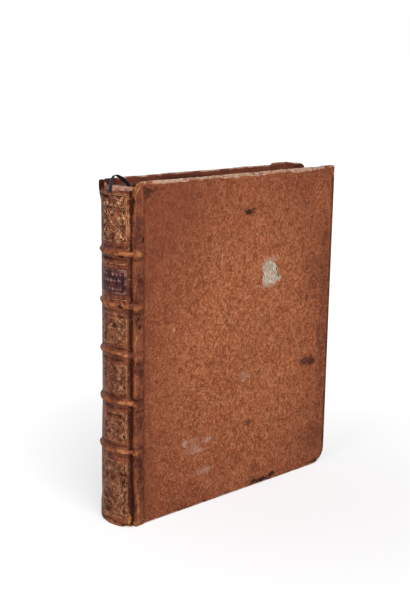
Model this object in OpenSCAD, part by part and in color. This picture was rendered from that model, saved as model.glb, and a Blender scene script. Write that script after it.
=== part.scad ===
// Quarter-bound atlas in quarto, standing on its tail edge.
// The leaves are sewn on five raised cords, rounded and backed. Two pasteboards sit in the
// shoulders, a leather back runs over the cords and onto the boards, and decorated paper
// covers the rest of each board.
// +Z is up, the spine faces -X, the front cover faces -Y. The origin is under the middle.

/* [Leaves] */
// Height of the leaves
page_h = 300; // [240:1:400]
// Width of the leaves, from the shoulder to the fore edge
page_w = 252; // [180:1:320]
// Thickness of all the leaves together
block_t = 34; // [24:0.5:50]
// How far the rounded back stands out behind the shoulders
back_rise = 7.4; // [6:0.1:9]
// Depth of the hollow in the fore edge
fore_hollow = 5; // [3:0.5:7]

/* [Boards] */
// Thickness of the pasteboard
board_t = 3.9; // [3:0.1:5]
// How far the boards reach past the leaves at head, tail and fore edge
square_w = 5; // [4.5:0.5:8]
// Width of the groove between the shoulder and the board
joint_w = 3.4; // [3:0.1:4.5]
// Play between the closed cover and the leaves
cover_gap = 0.3; // [0.2:0.05:0.6]
// Corner radius where the board meets the joint at the head
back_corner_head = 8; // [3:0.5:12]
// Corner radius where the board meets the joint at the tail
back_corner_tail = 6; // [3:0.5:12]
// Radius of the front board's bumped corner, at the tail of the fore edge
bumped_corner = 17; // [6:0.5:22]
// Radius of the other worn corners at the fore edge
worn_corner = 2.5; // [1:0.5:6]

/* [Coverings] */
// Thickness of the decorated paper and of the pastedowns
paper_t = 0.4; // [0.3:0.05:0.6]
// Width of paper and leather that is turned in and left showing inside a cover
turn_in = 5; // [3:0.5:12]
// Thickness of the leather on the boards
strip_t = 0.9; // [0.7:0.05:1.2]
// Width of leather that shows on a board
strip_w = 10.5; // [9:0.5:16]
// Thickness of the leather on the spine
leather_t = 1.2; // [0.9:0.1:1.6]
// Thickness of the doubled leather at the head and tail of the spine
turned_t = 2; // [1.7:0.1:2.4]
// Height of the doubled leather
turned_h = 15; // [8:1:24]
// Radius of the rolled caps at the head and tail of the spine
cap_r = 1.2; // [1:0.1:1.5]
// How far the worn headcap lies below the heads of the boards
head_drop = 2.5; // [1.5:0.1:2.5]

/* [Sewing] */
// Height of the compartment below the lowest band
tail_panel = 71; // [50:1:80]
// Height of the compartment above the highest band, up to the heads of the boards
head_panel = 60; // [45:1:75]
// Radius of the half-round sewing cords
cord_r = 2; // [1.5:0.1:2.6]
// Height of the laced-in cord ends under the leather on the boards
slip_rise = 1.3; // [0.8:0.1:1.5]
// Radius of the laced-in cord ends
slip_r = 4.5; // [3:0.1:5]
// Radius of the endbands
endband_r = 1.1; // [0.8:0.1:1.2]

/* [Label and ribbon] */
// Height of the spine label
label_h = 23; // [14:1:26]
// How far the label lies above the middle of the band below it
label_low = 8.5; // [7:0.5:12]
// How far the label's sides stay from the shoulders, in degrees
label_side = 5; // [2:0.5:12]
// Thickness of the label
label_t = 0.4; // [0.3:0.05:0.6]
// Width of the ribbon marker
ribbon_w = 4; // [3:0.5:6]
// Thickness of the ribbon marker
ribbon_t = 0.4; // [0.3:0.05:0.6]

/* [Hidden] */
$fn = 96;
// clearance between pasted layers, and around the turning edge of a cover
fit = 0.05;
hinge_clear = 0.3;
// distance past a face that a cut runs
past = 1;

// heights
book_h = page_h + 2 * square_w;
leaf_head = book_h - square_w;
spine_head = book_h - head_drop;
band_count = 5;
band_pitch = (book_h - tail_panel - head_panel) / (band_count - 1);
band_z = [for (i = [0 : band_count - 1]) tail_panel + i * band_pitch];
label_band = band_count - 2;
label_z = band_z[label_band] + label_low;
// the label stays clear of the band above it
label_room = 1;
label_rise = min(label_h, band_pitch - label_low - cord_r - leather_t - label_room);

// depths of a cover, measured from the middle of the leaves
cover_in = block_t / 2 + cover_gap;
board_in = cover_in + paper_t;
board_out = board_in + board_t;
paper_out = board_out + paper_t;
strip_out = board_out + strip_t;

// lengths of a cover, measured from the shoulder
cover_fore = page_w + square_w;
strip_end = joint_w + strip_w;

// the rounded back: an arc through both shoulders
shoulder_drop = 1;
spine_w = 2 * (board_out - shoulder_drop);
back_r = (spine_w * spine_w / 4 + back_rise * back_rise) / (2 * back_rise);
back_cx = back_r - back_rise;
back_a = asin(spine_w / 2 / back_r);
band_r = cord_r + leather_t;
// how far the cords and the endbands stop short of the shoulders, in degrees
cord_short = 4;
endband_short = 5;
label_a = back_a - label_side;
// the outer leaves keep a narrow flat at the shoulders and at the fore edge
leaf_flat = 0.2;
fore_half = block_t / 2 - leaf_flat;
fore_r = (fore_half * fore_half + fore_hollow * fore_hollow) / (2 * fore_hollow);

// the turning edge of a cover: a rounded leather edge at the outer face of the board
hinge_r = strip_t / 2;
hinge_inset = 0.35;
hinge_x = joint_w - hinge_inset;
hinge_y = board_out + hinge_r;

// the leather in the groove: half a ring from the shoulder to the turning edge
web_t = 1;
web_lap = 0.25;
web_left = -leather_t * cos(back_a) - web_lap;
web_right = hinge_x - hinge_r - hinge_clear;
web_r = (web_right - web_left) / 2;
web_x = (web_right + web_left) / 2;
web_y = (back_r + leather_t) * sin(back_a) + web_lap;

// laced-in cord ends, measured from the spine edge of a board
slip_from = 4;
slip_to = 5.5;

// the frame's origin is under the middle of the part's box
spine_out = -back_rise - band_r;
x_shift = -(spine_out + cover_fore) / 2;

// the ribbon leaves the leaves at their head, arches over the headcap and hangs down the spine
// each point is [x from the shoulder, y, z above the leaves], then the turn of its width in degrees
ribbon_route = [
  [9, -8, 0, 0], [8.6, -7.9, 0.9, 8], [7.7, -7.8, 2, 16], [6.2, -7.6, 3.7, 24], [4.4, -7.3, 5.4, 30],
  [2.1, -7, 7.3, 32], [-0.3, -6.6, 9.1, 30], [-2.6, -6.3, 10.5, 24], [-4.6, -6, 11.2, 16],
  [-6.4, -5.8, 10.8, 8], [-7.6, -5.6, 9.4, 2], [-8.6, -5.5, 7.6, -2], [-9.2, -5.4, 5.6, -5],
  [-9.5, -5.2, 3.4, -7], [-9.55, -4.7, 1, -8], [-9.6, -4.2, -1.1, -8], [-9.65, -3.7, -3.2, -8]
];
// the level direction across the ribbon's route
ribbon_across = [0, 1, 0];
// the spine's outer face that the route was chosen for
ribbon_spine = -9.4;

// Helpers

module in_frame() { translate([x_shift, 0, 0]) children(); }

// turns a [radius, height] profile along the rounded back, to half_a degrees each side
module around_back(half_a) {
  translate([back_cx, 0, 0]) rotate([0, 0, 180 - half_a])
    rotate_extrude(angle = 2 * half_a) children();
}

// a cover is drawn flat, in length and height, and stands up between two depths in front
module stand(depth_from, depth_to) {
  translate([0, -depth_from, 0]) rotate([90, 0, 0])
    linear_extrude(height = depth_to - depth_from) children();
}

// the leaves seen from the head: rounded back, sloping shoulders, hollow fore edge
module leaf_outline() {
  half = spine_w / 2;
  difference() {
    translate([-back_rise, -half]) square([back_rise + page_w, spine_w]);
    difference() {
      translate([-back_rise - past, -half - past]) square([back_rise + past, spine_w + 2 * past]);
      translate([back_cx, 0]) circle(r = back_r);
    }
    for (side = [-1, 1]) polygon([
      [leaf_flat, side * half], [joint_w, side * block_t / 2], [page_w + past, side * block_t / 2],
      [page_w + past, side * (half + past)], [leaf_flat, side * (half + past)]
    ]);
    translate([page_w - fore_hollow + fore_r, 0]) circle(r = fore_r);
  }
}

// what a rounded corner takes away, for a corner at the origin of a panel in the first quadrant
module corner_loss(r) {
  difference() {
    translate([-past, -past]) square(r + past);
    translate([r, r]) circle(r = r);
  }
}

// outline of a covered board, or of the bare board inside its turned edges
module board_outline(inset, tail_fore) {
  low = inset;
  high = book_h - inset;
  fore = cover_fore - inset;
  difference() {
    translate([joint_w, low]) square([fore - joint_w, high - low]);
    translate([joint_w, low]) corner_loss(back_corner_tail);
    translate([joint_w, high]) mirror([0, 1]) corner_loss(back_corner_head);
    translate([fore, low]) mirror([1, 0]) corner_loss(tail_fore);
    translate([fore, high]) mirror([1, 0]) mirror([0, 1]) corner_loss(worn_corner);
  }
}

// Sub-parts of the sewn block

module text_block() {
  color("antiquewhite") in_frame()
    translate([0, 0, square_w]) linear_extrude(height = page_h) leaf_outline();
}

// the leather on the spine, cut across: a wall that is doubled and rolled at both ends,
// bands over the cords, and a hollow behind each band for its cord
module spine_profile() {
  inner = back_r + fit;
  outer = back_r + leather_t;
  outer_end = back_r + turned_t;
  slope_h = 10;
  difference() {
    union() {
      polygon([
        [inner, cap_r], [outer_end, cap_r], [outer_end, turned_h], [outer, turned_h + slope_h],
        [outer, spine_head - turned_h - slope_h], [outer_end, spine_head - turned_h],
        [outer_end, spine_head - cap_r], [inner, spine_head - cap_r]
      ]);
      for (z = [cap_r, spine_head - cap_r]) translate([outer_end - cap_r, z]) circle(r = cap_r);
      for (z = band_z) band_profile(z);
    }
    for (z = band_z) translate([back_r, z]) circle(r = cord_r + fit);
  }
}

module band_profile(z) {
  difference() {
    translate([back_r, z]) circle(r = band_r);
    translate([back_r + fit - 2 * band_r, z - band_r - past]) square([2 * band_r, 2 * (band_r + past)]);
  }
}

// leather that dips from a shoulder into the groove, up to the turning edge of the cover
module groove_web() {
  linear_extrude(height = spine_head) difference() {
    translate([web_x, -web_y]) circle(r = web_r);
    translate([web_x, -web_y]) circle(r = web_r - web_t);
    translate([web_x - web_r - past, -web_y - web_r - past]) square([2 * (web_r + past), web_r + past]);
    leaf_outline();
  }
}

module spine_leather() {
  color("saddlebrown") in_frame() {
    around_back(back_a) spine_profile();
    groove_web();
    mirror([0, 1, 0]) groove_web();
  }
}

module title_label() {
  color("#3a1c22") in_frame() around_back(label_a)
    translate([back_r + leather_t + fit, label_z]) square([label_t, label_rise]);
}

module sewing_cord(i) {
  color("wheat") in_frame() around_back(back_a - cord_short) intersection() {
    translate([back_r, band_z[i]]) circle(r = cord_r);
    translate([back_r + fit, band_z[i] - cord_r]) square([cord_r, 2 * cord_r]);
  }
}

module endband(z) {
  inset = 0.7;
  color("tan") in_frame() around_back(back_a - endband_short)
    translate([back_r - endband_r - inset, z]) circle(r = endband_r);
}

function unit(v) = v / norm(v);
function route_at(i) =
  [for (k = [0 : 2]) ribbon_route[i][k]] + [-back_rise - turned_t - ribbon_spine, 0, leaf_head];
function route_along(i) =
  unit(route_at(min(i + 1, len(ribbon_route) - 1)) - route_at(max(i - 1, 0)));
// width direction: level across the route, turned about the ribbon's own line
function route_across(i) = let (
    along = i == 0 ? [0, 0, 1] : route_along(i),
    level = unit(ribbon_across - (ribbon_across * along) * along),
    turn = ribbon_route[i][3]
  ) unit(level * cos(turn) + cross(along, level) * sin(turn));

module ribbon_marker() {
  count = len(ribbon_route);
  rings = [
    for (i = [0 : count - 1]) let (
      along = i == 0 ? [0, 0, 1] : route_along(i),
      wide = route_across(i) * ribbon_w / 2,
      thick = cross(along, route_across(i)) * ribbon_t / 2
    ) each [for (s = [[-1, -1], [1, -1], [1, 1], [-1, 1]]) route_at(i) + s[0] * wide + s[1] * thick]
  ];
  faces = [
    [0, 1, 2, 3],
    for (i = [0 : count - 2], k = [0 : 3]) let (a = 4 * i + k, b = 4 * i + (k + 1) % 4)
      each [[a, a + 4, b], [b, a + 4, b + 4]],
    [for (k = [3 : -1 : 0]) 4 * (count - 1) + k]
  ];
  color("#20242a") in_frame() polyhedron(points = rings, faces = faces);
}

// Sub-parts of a cover, drawn as the front one

module bare_board(tail_fore) {
  color("burlywood") stand(board_in, board_out) board_outline(paper_t, tail_fore);
}

// the window inside the turned-in edges, filled by the pastedown
module pastedown_outline() {
  translate([joint_w, turn_in]) square([cover_fore - turn_in - joint_w, book_h - 2 * turn_in]);
}

// a covering that is wrapped over the board between two distances from the shoulder
module wrap(length_from, length_to, depth_to, tail_fore) {
  difference() {
    stand(cover_in, depth_to) intersection() {
      board_outline(0, tail_fore);
      translate([length_from, -past]) square([length_to - length_from, book_h + 2 * past]);
    }
    stand(board_in, board_out) board_outline(paper_t, tail_fore);
    stand(cover_in - past, board_in) pastedown_outline();
  }
}

module side_paper(tail_fore) {
  color("sienna") wrap(strip_end, cover_fore + past, paper_out, tail_fore);
}

// a cord end laced into the board: a round-ended lump that stands out of the leather
module slip(z) {
  translate([joint_w, -strip_out - slip_rise + slip_r, z]) {
    translate([slip_from, 0, 0]) rotate([0, 90, 0]) cylinder(r = slip_r, h = slip_to - slip_from);
    for (x = [slip_from, slip_to]) translate([x, 0, 0]) sphere(r = slip_r);
  }
}

module cover_leather(tail_fore) {
  color("saddlebrown") {
    wrap(joint_w - past, strip_end, strip_out, tail_fore);
    translate([hinge_x, -hinge_y, back_corner_tail])
      cylinder(r = hinge_r, h = book_h - back_corner_tail - back_corner_head);
    translate([hinge_x, -strip_out, back_corner_tail])
      cube([joint_w - hinge_x + past, strip_t, book_h - back_corner_tail - back_corner_head]);
    difference() {
      for (z = band_z) slip(z);
      translate([0, -board_out, 0]) cube([cover_fore, board_out, book_h]);
    }
  }
}

module pastedown() {
  color("oldlace") stand(cover_in, board_in) pastedown_outline();
}

module front() { in_frame() children(); }
module back() { in_frame() mirror([0, 1, 0]) children(); }

text_block();
spine_leather();
title_label();
sewing_cord(0);  // sewing_cord_1
sewing_cord(1);  // sewing_cord_2
sewing_cord(2);  // sewing_cord_3
sewing_cord(3);  // sewing_cord_4
sewing_cord(4);  // sewing_cord_5
endband(leaf_head + fit + endband_r);  // head_endband
endband(square_w - fit - endband_r);  // tail_endband
ribbon_marker();
front() bare_board(bumped_corner);  // front_board
front() side_paper(bumped_corner);  // front_side_paper
front() cover_leather(bumped_corner);  // front_leather
front() pastedown();  // front_pastedown
back() bare_board(worn_corner);  // back_board
back() side_paper(worn_corner);  // back_side_paper
back() cover_leather(worn_corner);  // back_leather
back() pastedown();  // back_pastedown
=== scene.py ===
import math
import bpy
import numpy as np
from mathutils import Matrix, Vector
from mathutils.geometry import delaunay_2d_cdt


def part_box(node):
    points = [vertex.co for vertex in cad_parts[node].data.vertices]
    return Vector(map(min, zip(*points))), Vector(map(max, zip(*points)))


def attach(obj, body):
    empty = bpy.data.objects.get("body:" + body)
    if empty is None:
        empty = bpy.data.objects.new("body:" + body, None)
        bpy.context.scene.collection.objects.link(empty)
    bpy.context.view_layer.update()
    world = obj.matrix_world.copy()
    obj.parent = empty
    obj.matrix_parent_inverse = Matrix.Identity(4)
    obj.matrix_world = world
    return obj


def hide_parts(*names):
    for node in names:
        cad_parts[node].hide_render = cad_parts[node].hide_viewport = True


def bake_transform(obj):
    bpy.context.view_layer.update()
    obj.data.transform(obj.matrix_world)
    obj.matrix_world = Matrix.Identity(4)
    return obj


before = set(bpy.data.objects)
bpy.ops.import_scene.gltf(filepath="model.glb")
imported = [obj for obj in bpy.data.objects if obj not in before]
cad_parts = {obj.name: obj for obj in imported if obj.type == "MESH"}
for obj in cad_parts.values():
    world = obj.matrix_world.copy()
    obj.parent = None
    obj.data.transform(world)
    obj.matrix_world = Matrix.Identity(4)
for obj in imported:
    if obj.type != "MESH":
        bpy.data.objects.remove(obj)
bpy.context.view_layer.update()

# sizes of the CAD part in mm: x runs from the shoulder, the front cover faces -y
book = {
    "height": 310.0, "leafHead": 305.0, "leafTail": 5.0, "pageW": 252.0, "blockT": 34.0,
    "backRise": 7.4, "spineHalf": 20.6, "spineHead": 307.5, "joint": 3.4,
    "boardIn": 17.7, "boardOut": 21.6, "paper": 0.4,
    "leather": 1.2, "turned": 2.0, "turnedH": 15.0, "cap": 1.2, "stripEnd": 12.9,
}
book["backR"] = (book["spineHalf"] ** 2 + book["backRise"] ** 2) / (2 * book["backRise"])
book["backX"] = book["backR"] - book["backRise"]
book["backA"] = math.asin(book["spineHalf"] / book["backR"])
book["hideR"] = book["backR"] + book["leather"]
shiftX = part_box("text_block")[0].x * 1000 + book["backRise"]


def toFrame(points):
    return (np.asarray(points, float) + (shiftX, 0, 0)) / 1000


def smooth(low, high, x):
    t = np.clip((np.asarray(x, float) - low) / (high - low), 0, 1)
    return t * t * (3 - 2 * t)


def lattice(i, j, seed):
    n = np.sin(i * 127.1 + j * 311.7 + seed * 74.7) * 43758.5453
    return n - np.floor(n)


def noise(u, v, size, seed):
    u, v = np.broadcast_arrays(np.asarray(u, float) / size, np.asarray(v, float) / size)
    i, j = np.floor(u), np.floor(v)
    a, b = u - i, v - j
    a, b = a * a * (3 - 2 * a), b * b * (3 - 2 * b)
    low = lattice(i, j, seed) * (1 - a) + lattice(i + 1, j, seed) * a
    high = lattice(i, j + 1, seed) * (1 - a) + lattice(i + 1, j + 1, seed) * a
    return 2 * (low * (1 - b) + high * b) - 1


def rough(u, v, size, seed, octaves=3):
    total, weight = 0.0, 0.0
    for k in range(octaves):
        total = total + noise(u, v, size / 2 ** k, seed + 11 * k) / 1.8 ** k
        weight += 1 / 1.8 ** k
    return total / weight


def unit(vectors):
    return vectors / np.linalg.norm(vectors, axis=1)[:, None]


def lengthAlong(line):
    return np.concatenate([[0], np.cumsum(np.linalg.norm(np.diff(line, axis=0), axis=1))])


def splinePoints(control, per):
    c = np.asarray(control, float)
    padded = np.vstack([2 * c[0] - c[1], c, 2 * c[-1] - c[-2]])
    t = np.linspace(0, 1, per, endpoint=False)[:, None]
    out = []
    for a, b, d, e in zip(padded, padded[1:], padded[2:], padded[3:]):
        square, cube = 2 * a - 5 * b + 4 * d - e, 3 * b - a - 3 * d + e
        out.append(0.5 * (2 * b + (d - a) * t + square * t ** 2 + cube * t ** 3))
    return np.vstack(out + [c[-1:]])


def newObject(name, data):
    obj = bpy.data.objects.new(name, data)
    bpy.context.scene.collection.objects.link(obj)
    return obj


def makePiece(name, points, faces, material, attributes, flat=False):
    mesh = bpy.data.meshes.new(name)
    mesh.from_pydata(toFrame(points).tolist(), [], [list(f) for f in faces])
    mesh.validate()
    for key, values in attributes.items():
        layer = mesh.attributes.new(key, "FLOAT", "POINT")
        layer.data.foreach_set("value", np.asarray(values, np.float32).ravel())
    mesh.polygons.foreach_set("use_smooth", np.full(len(mesh.polygons), not flat))
    mesh.materials.append(material)
    return newObject(name, mesh)


def dress(obj, body, nodeName):
    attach(obj, body)
    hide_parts(nodeName)


def gridFaces(rows, cols, closeRows=False, flip=False):
    r = np.arange(rows if closeRows else rows - 1)
    c = np.arange(cols - 1)
    a = (r[:, None] * cols + c[None, :]).ravel()
    b = (((r + 1) % rows)[:, None] * cols + c[None, :]).ravel()
    quads = np.stack([a, a + 1, b + 1, b], 1)
    return (quads[:, ::-1] if flip else quads).tolist()


def tubeFaces(count, around):
    # rings of points joined in turn, with a cap at each end
    j = np.arange(around)
    after = (j + 1) % around
    sides = [np.stack([k * around + j, k * around + after, (k + 1) * around + after, (k + 1) * around + j], 1)
             for k in range(count - 1)]
    return np.vstack(sides).tolist() + [j[::-1].tolist(), ((count - 1) * around + j).tolist()]


def stripEnds(rows, cols):
    return [[k * cols for k in range(rows)], [k * cols + cols - 1 for k in range(rows)][::-1]]


# node helpers: an input takes a socket or a plain value

def addNode(tree, kind, links=None, **settings):
    made = tree.nodes.new(kind)
    for key, value in settings.items():
        setattr(made, key, value)
    for key, value in (links or {}).items():
        if isinstance(value, bpy.types.NodeSocket):
            tree.links.new(value, made.inputs[key])
        else:
            made.inputs[key].default_value = value
    return made.outputs


def calc(tree, operation, *values):
    return addNode(tree, "ShaderNodeMath", dict(enumerate(values)), operation=operation)[0]


class Shade:
    # short calls for the nodes of one shader tree
    def __init__(self, tree, where):
        self.tree, self.where = tree, where

    def add(self, kind, links=None, **settings):
        return addNode(self.tree, "ShaderNode" + kind, links, **settings)

    def plus(self, a, b):
        return calc(self.tree, "ADD", a, b)

    def minus(self, a, b):
        return calc(self.tree, "SUBTRACT", a, b)

    def times(self, a, b):
        return calc(self.tree, "MULTIPLY", a, b)

    def swing(self, value, amount):
        # a noise moved to lie about zero
        return self.times(self.minus(value, 0.5), amount)

    def step(self, value, low, high):
        links = {"Value": value, "From Min": low, "From Max": high}
        return self.add("MapRange", links, interpolation_type="SMOOTHSTEP")["Result"]

    def noise(self, scale, detail=3.0, roughness=0.55, distortion=0.0):
        # cells per metre; three scales stretch the pattern
        where = self.where
        if isinstance(scale, tuple):
            where, scale = self.add("Mapping", {"Vector": where, "Scale": scale})["Vector"], 1
        links = {"Vector": where, "Scale": scale, "Detail": detail,
                 "Roughness": roughness, "Distortion": distortion}
        return self.add("TexNoise", links)["Fac"]

    def attribute(self, name):
        return self.add("Attribute", attribute_name=name)["Fac"]

    def group(self, tree, links):
        return self.add("Group", {"Where": self.where, **links}, node_tree=tree)

    def mix(self, factor, a, b):
        a, b = (value if isinstance(value, bpy.types.NodeSocket) else (*value, 1) for value in (a, b))
        return self.add("Mix", {0: factor, 6: a, 7: b}, data_type="RGBA")[2]

    def tint(self, base, mask, strength, color):
        return self.mix(self.times(mask, strength), base, color)

    def feed(self, name, value):
        if isinstance(value, bpy.types.NodeSocket):
            self.tree.links.new(value, self.shader.inputs[name])
        else:
            self.shader.inputs[name].default_value = value

    def bump(self, height, strength, distance):
        links = {"Strength": strength, "Distance": distance, "Height": height}
        self.feed("Normal", self.add("Bump", links)["Normal"])


def newMaterial(name, roughness, specular):
    material = bpy.data.materials.new(name)
    material.use_nodes = True
    tree = material.node_tree
    s = Shade(tree, addNode(tree, "ShaderNodeTexCoord")["Object"])
    s.material, s.shader = material, tree.nodes["Principled BSDF"]
    s.feed("Roughness", roughness)
    s.feed("Specular IOR Level", specular)
    return s


def newGroup(name, inputs, outputs):
    tree = bpy.data.node_groups.new(name, "ShaderNodeTree")
    tree.interface.new_socket("Where", in_out="INPUT", socket_type="NodeSocketVector")
    for keys, way in ((inputs, "INPUT"), (outputs, "OUTPUT")):
        for key in keys:
            tree.interface.new_socket(key, in_out=way, socket_type="NodeSocketFloat")
    inn = tree.nodes.new("NodeGroupInput").outputs
    return Shade(tree, inn["Where"]), inn, tree.nodes.new("NodeGroupOutput").inputs


def grainGroup():
    # cracked and pored surface of old leather
    s, inn, out = newGroup("oldGrain", ["Cells"], ["Height", "Cracks", "Fine"])
    fine, pores = s.noise(900, 4, 0.65), s.noise(2600, 2, 0.5)
    links = {"Vector": s.where, "Scale": inn["Cells"]}
    cells = s.add("TexVoronoi", links, feature="DISTANCE_TO_EDGE")["Distance"]
    line = s.plus(cells, s.times(s.minus(fine, 0.42), 0.35))
    cracks = s.minus(1.0, s.step(line, 0.01, 0.10))
    height = s.minus(s.plus(s.times(fine, 0.6), s.times(pores, 0.3)), s.times(cracks, 0.25))
    for key, value in (("Height", height), ("Cracks", cracks), ("Fine", fine)):
        s.tree.links.new(value, out[key])
    return s.tree


oldGrain = grainGroup()

calf = {
    "deep": (0.112, 0.029, 0.018), "warm": (0.300, 0.088, 0.041), "patch": (0.36, 0.115, 0.052),
    "streak": (0.064, 0.019, 0.015), "grain": (0.38, 0.140, 0.068), "crack": (0.040, 0.015, 0.011),
    "dark": (0.040, 0.012, 0.006), "fleck": (0.50, 0.225, 0.140), "pore": (0.035, 0.012, 0.008),
    "fleshLow": (0.36, 0.105, 0.032), "fleshHigh": (0.60, 0.255, 0.095), "bare": (0.53, 0.305, 0.215),
}


def leatherMaterial():
    s = newMaterial("calfLeather", 0.5, 0.07)
    old = s.group(oldGrain, {"Cells": 520.0})
    fine, cloud, fleck = old["Fine"], s.noise(75, 4, 0.6), s.noise(560, 3, 0.7)
    base = s.mix(s.step(cloud, 0.36, 0.66), calf["deep"], calf["warm"])
    base = s.tint(base, s.step(s.noise(240, 3, 0.6), 0.48, 0.66), 0.55, calf["patch"])
    base = s.tint(base, s.step(s.noise((800, 800, 90), 3, 0.6), 0.50, 0.66), 0.50, calf["streak"])
    base = s.tint(base, s.step(fine, 0.54, 0.70), 0.45, calf["grain"])
    base = s.tint(base, old["Cracks"], 0.40, calf["crack"])
    # dirt and painted shade, then wear down to the flesh side, then bare pale places
    ragged = s.swing(fine, 1.3)
    dirtAndShade = s.step(s.plus(s.attribute("dark"), s.times(ragged, 0.5)), 0.12, 0.95)
    base = s.tint(base, dirtAndShade, 0.92, calf["dark"])
    base = s.tint(base, s.step(fleck, 0.60, 0.68), 0.55, calf["fleck"])
    base = s.tint(base, s.step(fleck, 0.40, 0.32), 0.60, calf["pore"])
    worn = s.step(s.plus(s.attribute("wear"), ragged), 0.28, 0.86)
    flesh = s.mix(s.step(cloud, 0.4, 0.62), calf["fleshLow"], calf["fleshHigh"])
    base = s.tint(base, worn, 0.82, flesh)
    bare = s.step(s.plus(s.attribute("pale"), ragged), 0.25, 0.95)
    s.feed("Base Color", s.tint(base, bare, 0.9, calf["bare"]))
    s.feed("Roughness", s.plus(s.times(calc(s.tree, "MAXIMUM", worn, bare), 0.3), 0.46))
    s.feed("Specular IOR Level", s.times(s.minus(1.0, dirtAndShade), 0.07))
    s.bump(s.minus(old["Height"], s.times(worn, 0.2)), 0.65, 0.0006)
    return s.material


labelSkin = {
    "low": (0.026, 0.009, 0.012), "high": (0.105, 0.032, 0.030),
    "crack": (0.010, 0.004, 0.005), "worn": (0.26, 0.105, 0.055),
}


def labelMaterial():
    s = newMaterial("labelLeather", 0.5, 0.08)
    old = s.group(oldGrain, {"Cells": 700.0})
    base = s.mix(s.step(s.noise(130, 4, 0.65), 0.38, 0.66), labelSkin["low"], labelSkin["high"])
    base = s.tint(base, old["Cracks"], 0.4, labelSkin["crack"])
    worn = s.plus(s.attribute("wear"), s.minus(old["Fine"], 0.5))
    s.feed("Base Color", s.tint(base, s.step(worn, 0.4, 0.8), 0.8, labelSkin["worn"]))
    s.bump(old["Height"], 0.5, 0.0005)
    return s.material


def giltMaterial(name, low, high):
    s = newMaterial(name, 0.45, 0.1)
    rubbed = s.noise(215, 4, 0.65)
    s.feed("Base Color", s.mix(s.step(rubbed, 0.40, 0.62), low, high))
    s.feed("Metallic", 0.15)
    left = s.plus(rubbed, s.swing(s.noise(1500, 3, 0.6), 0.6))
    # the top panel has kept more of its gilt
    above = s.add("SeparateXYZ", {0: s.where})["Z"]
    kept = s.plus(s.times(s.step(above, 0.240, 0.262), 0.20), 0.78)
    s.feed("Alpha", s.times(s.step(left, 0.32, 0.46), kept))
    return s.material


def markGroup():
    # a ragged oval mark on a cover, at a place in x and z
    inputs = ["Place X", "Place Z", "Size X", "Size Z", "Ragged", "Grain"]
    s, inn, out = newGroup("raggedMark", inputs, ["Mask"])
    at = s.add("SeparateXYZ", {0: s.where})
    away = [calc(s.tree, "DIVIDE", s.minus(at[axis], inn["Place " + axis]), inn["Size " + axis])
            for axis in "XZ"]
    radius = calc(s.tree, "SQRT", s.plus(*(s.times(part, part) for part in away)))
    uneven = s.swing(s.noise(inn["Grain"], 4, 0.5), inn["Ragged"])
    s.tree.links.new(s.step(s.minus(1.0, s.plus(radius, uneven)), -0.10, 0.55), out["Mask"])
    return s.tree


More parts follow.
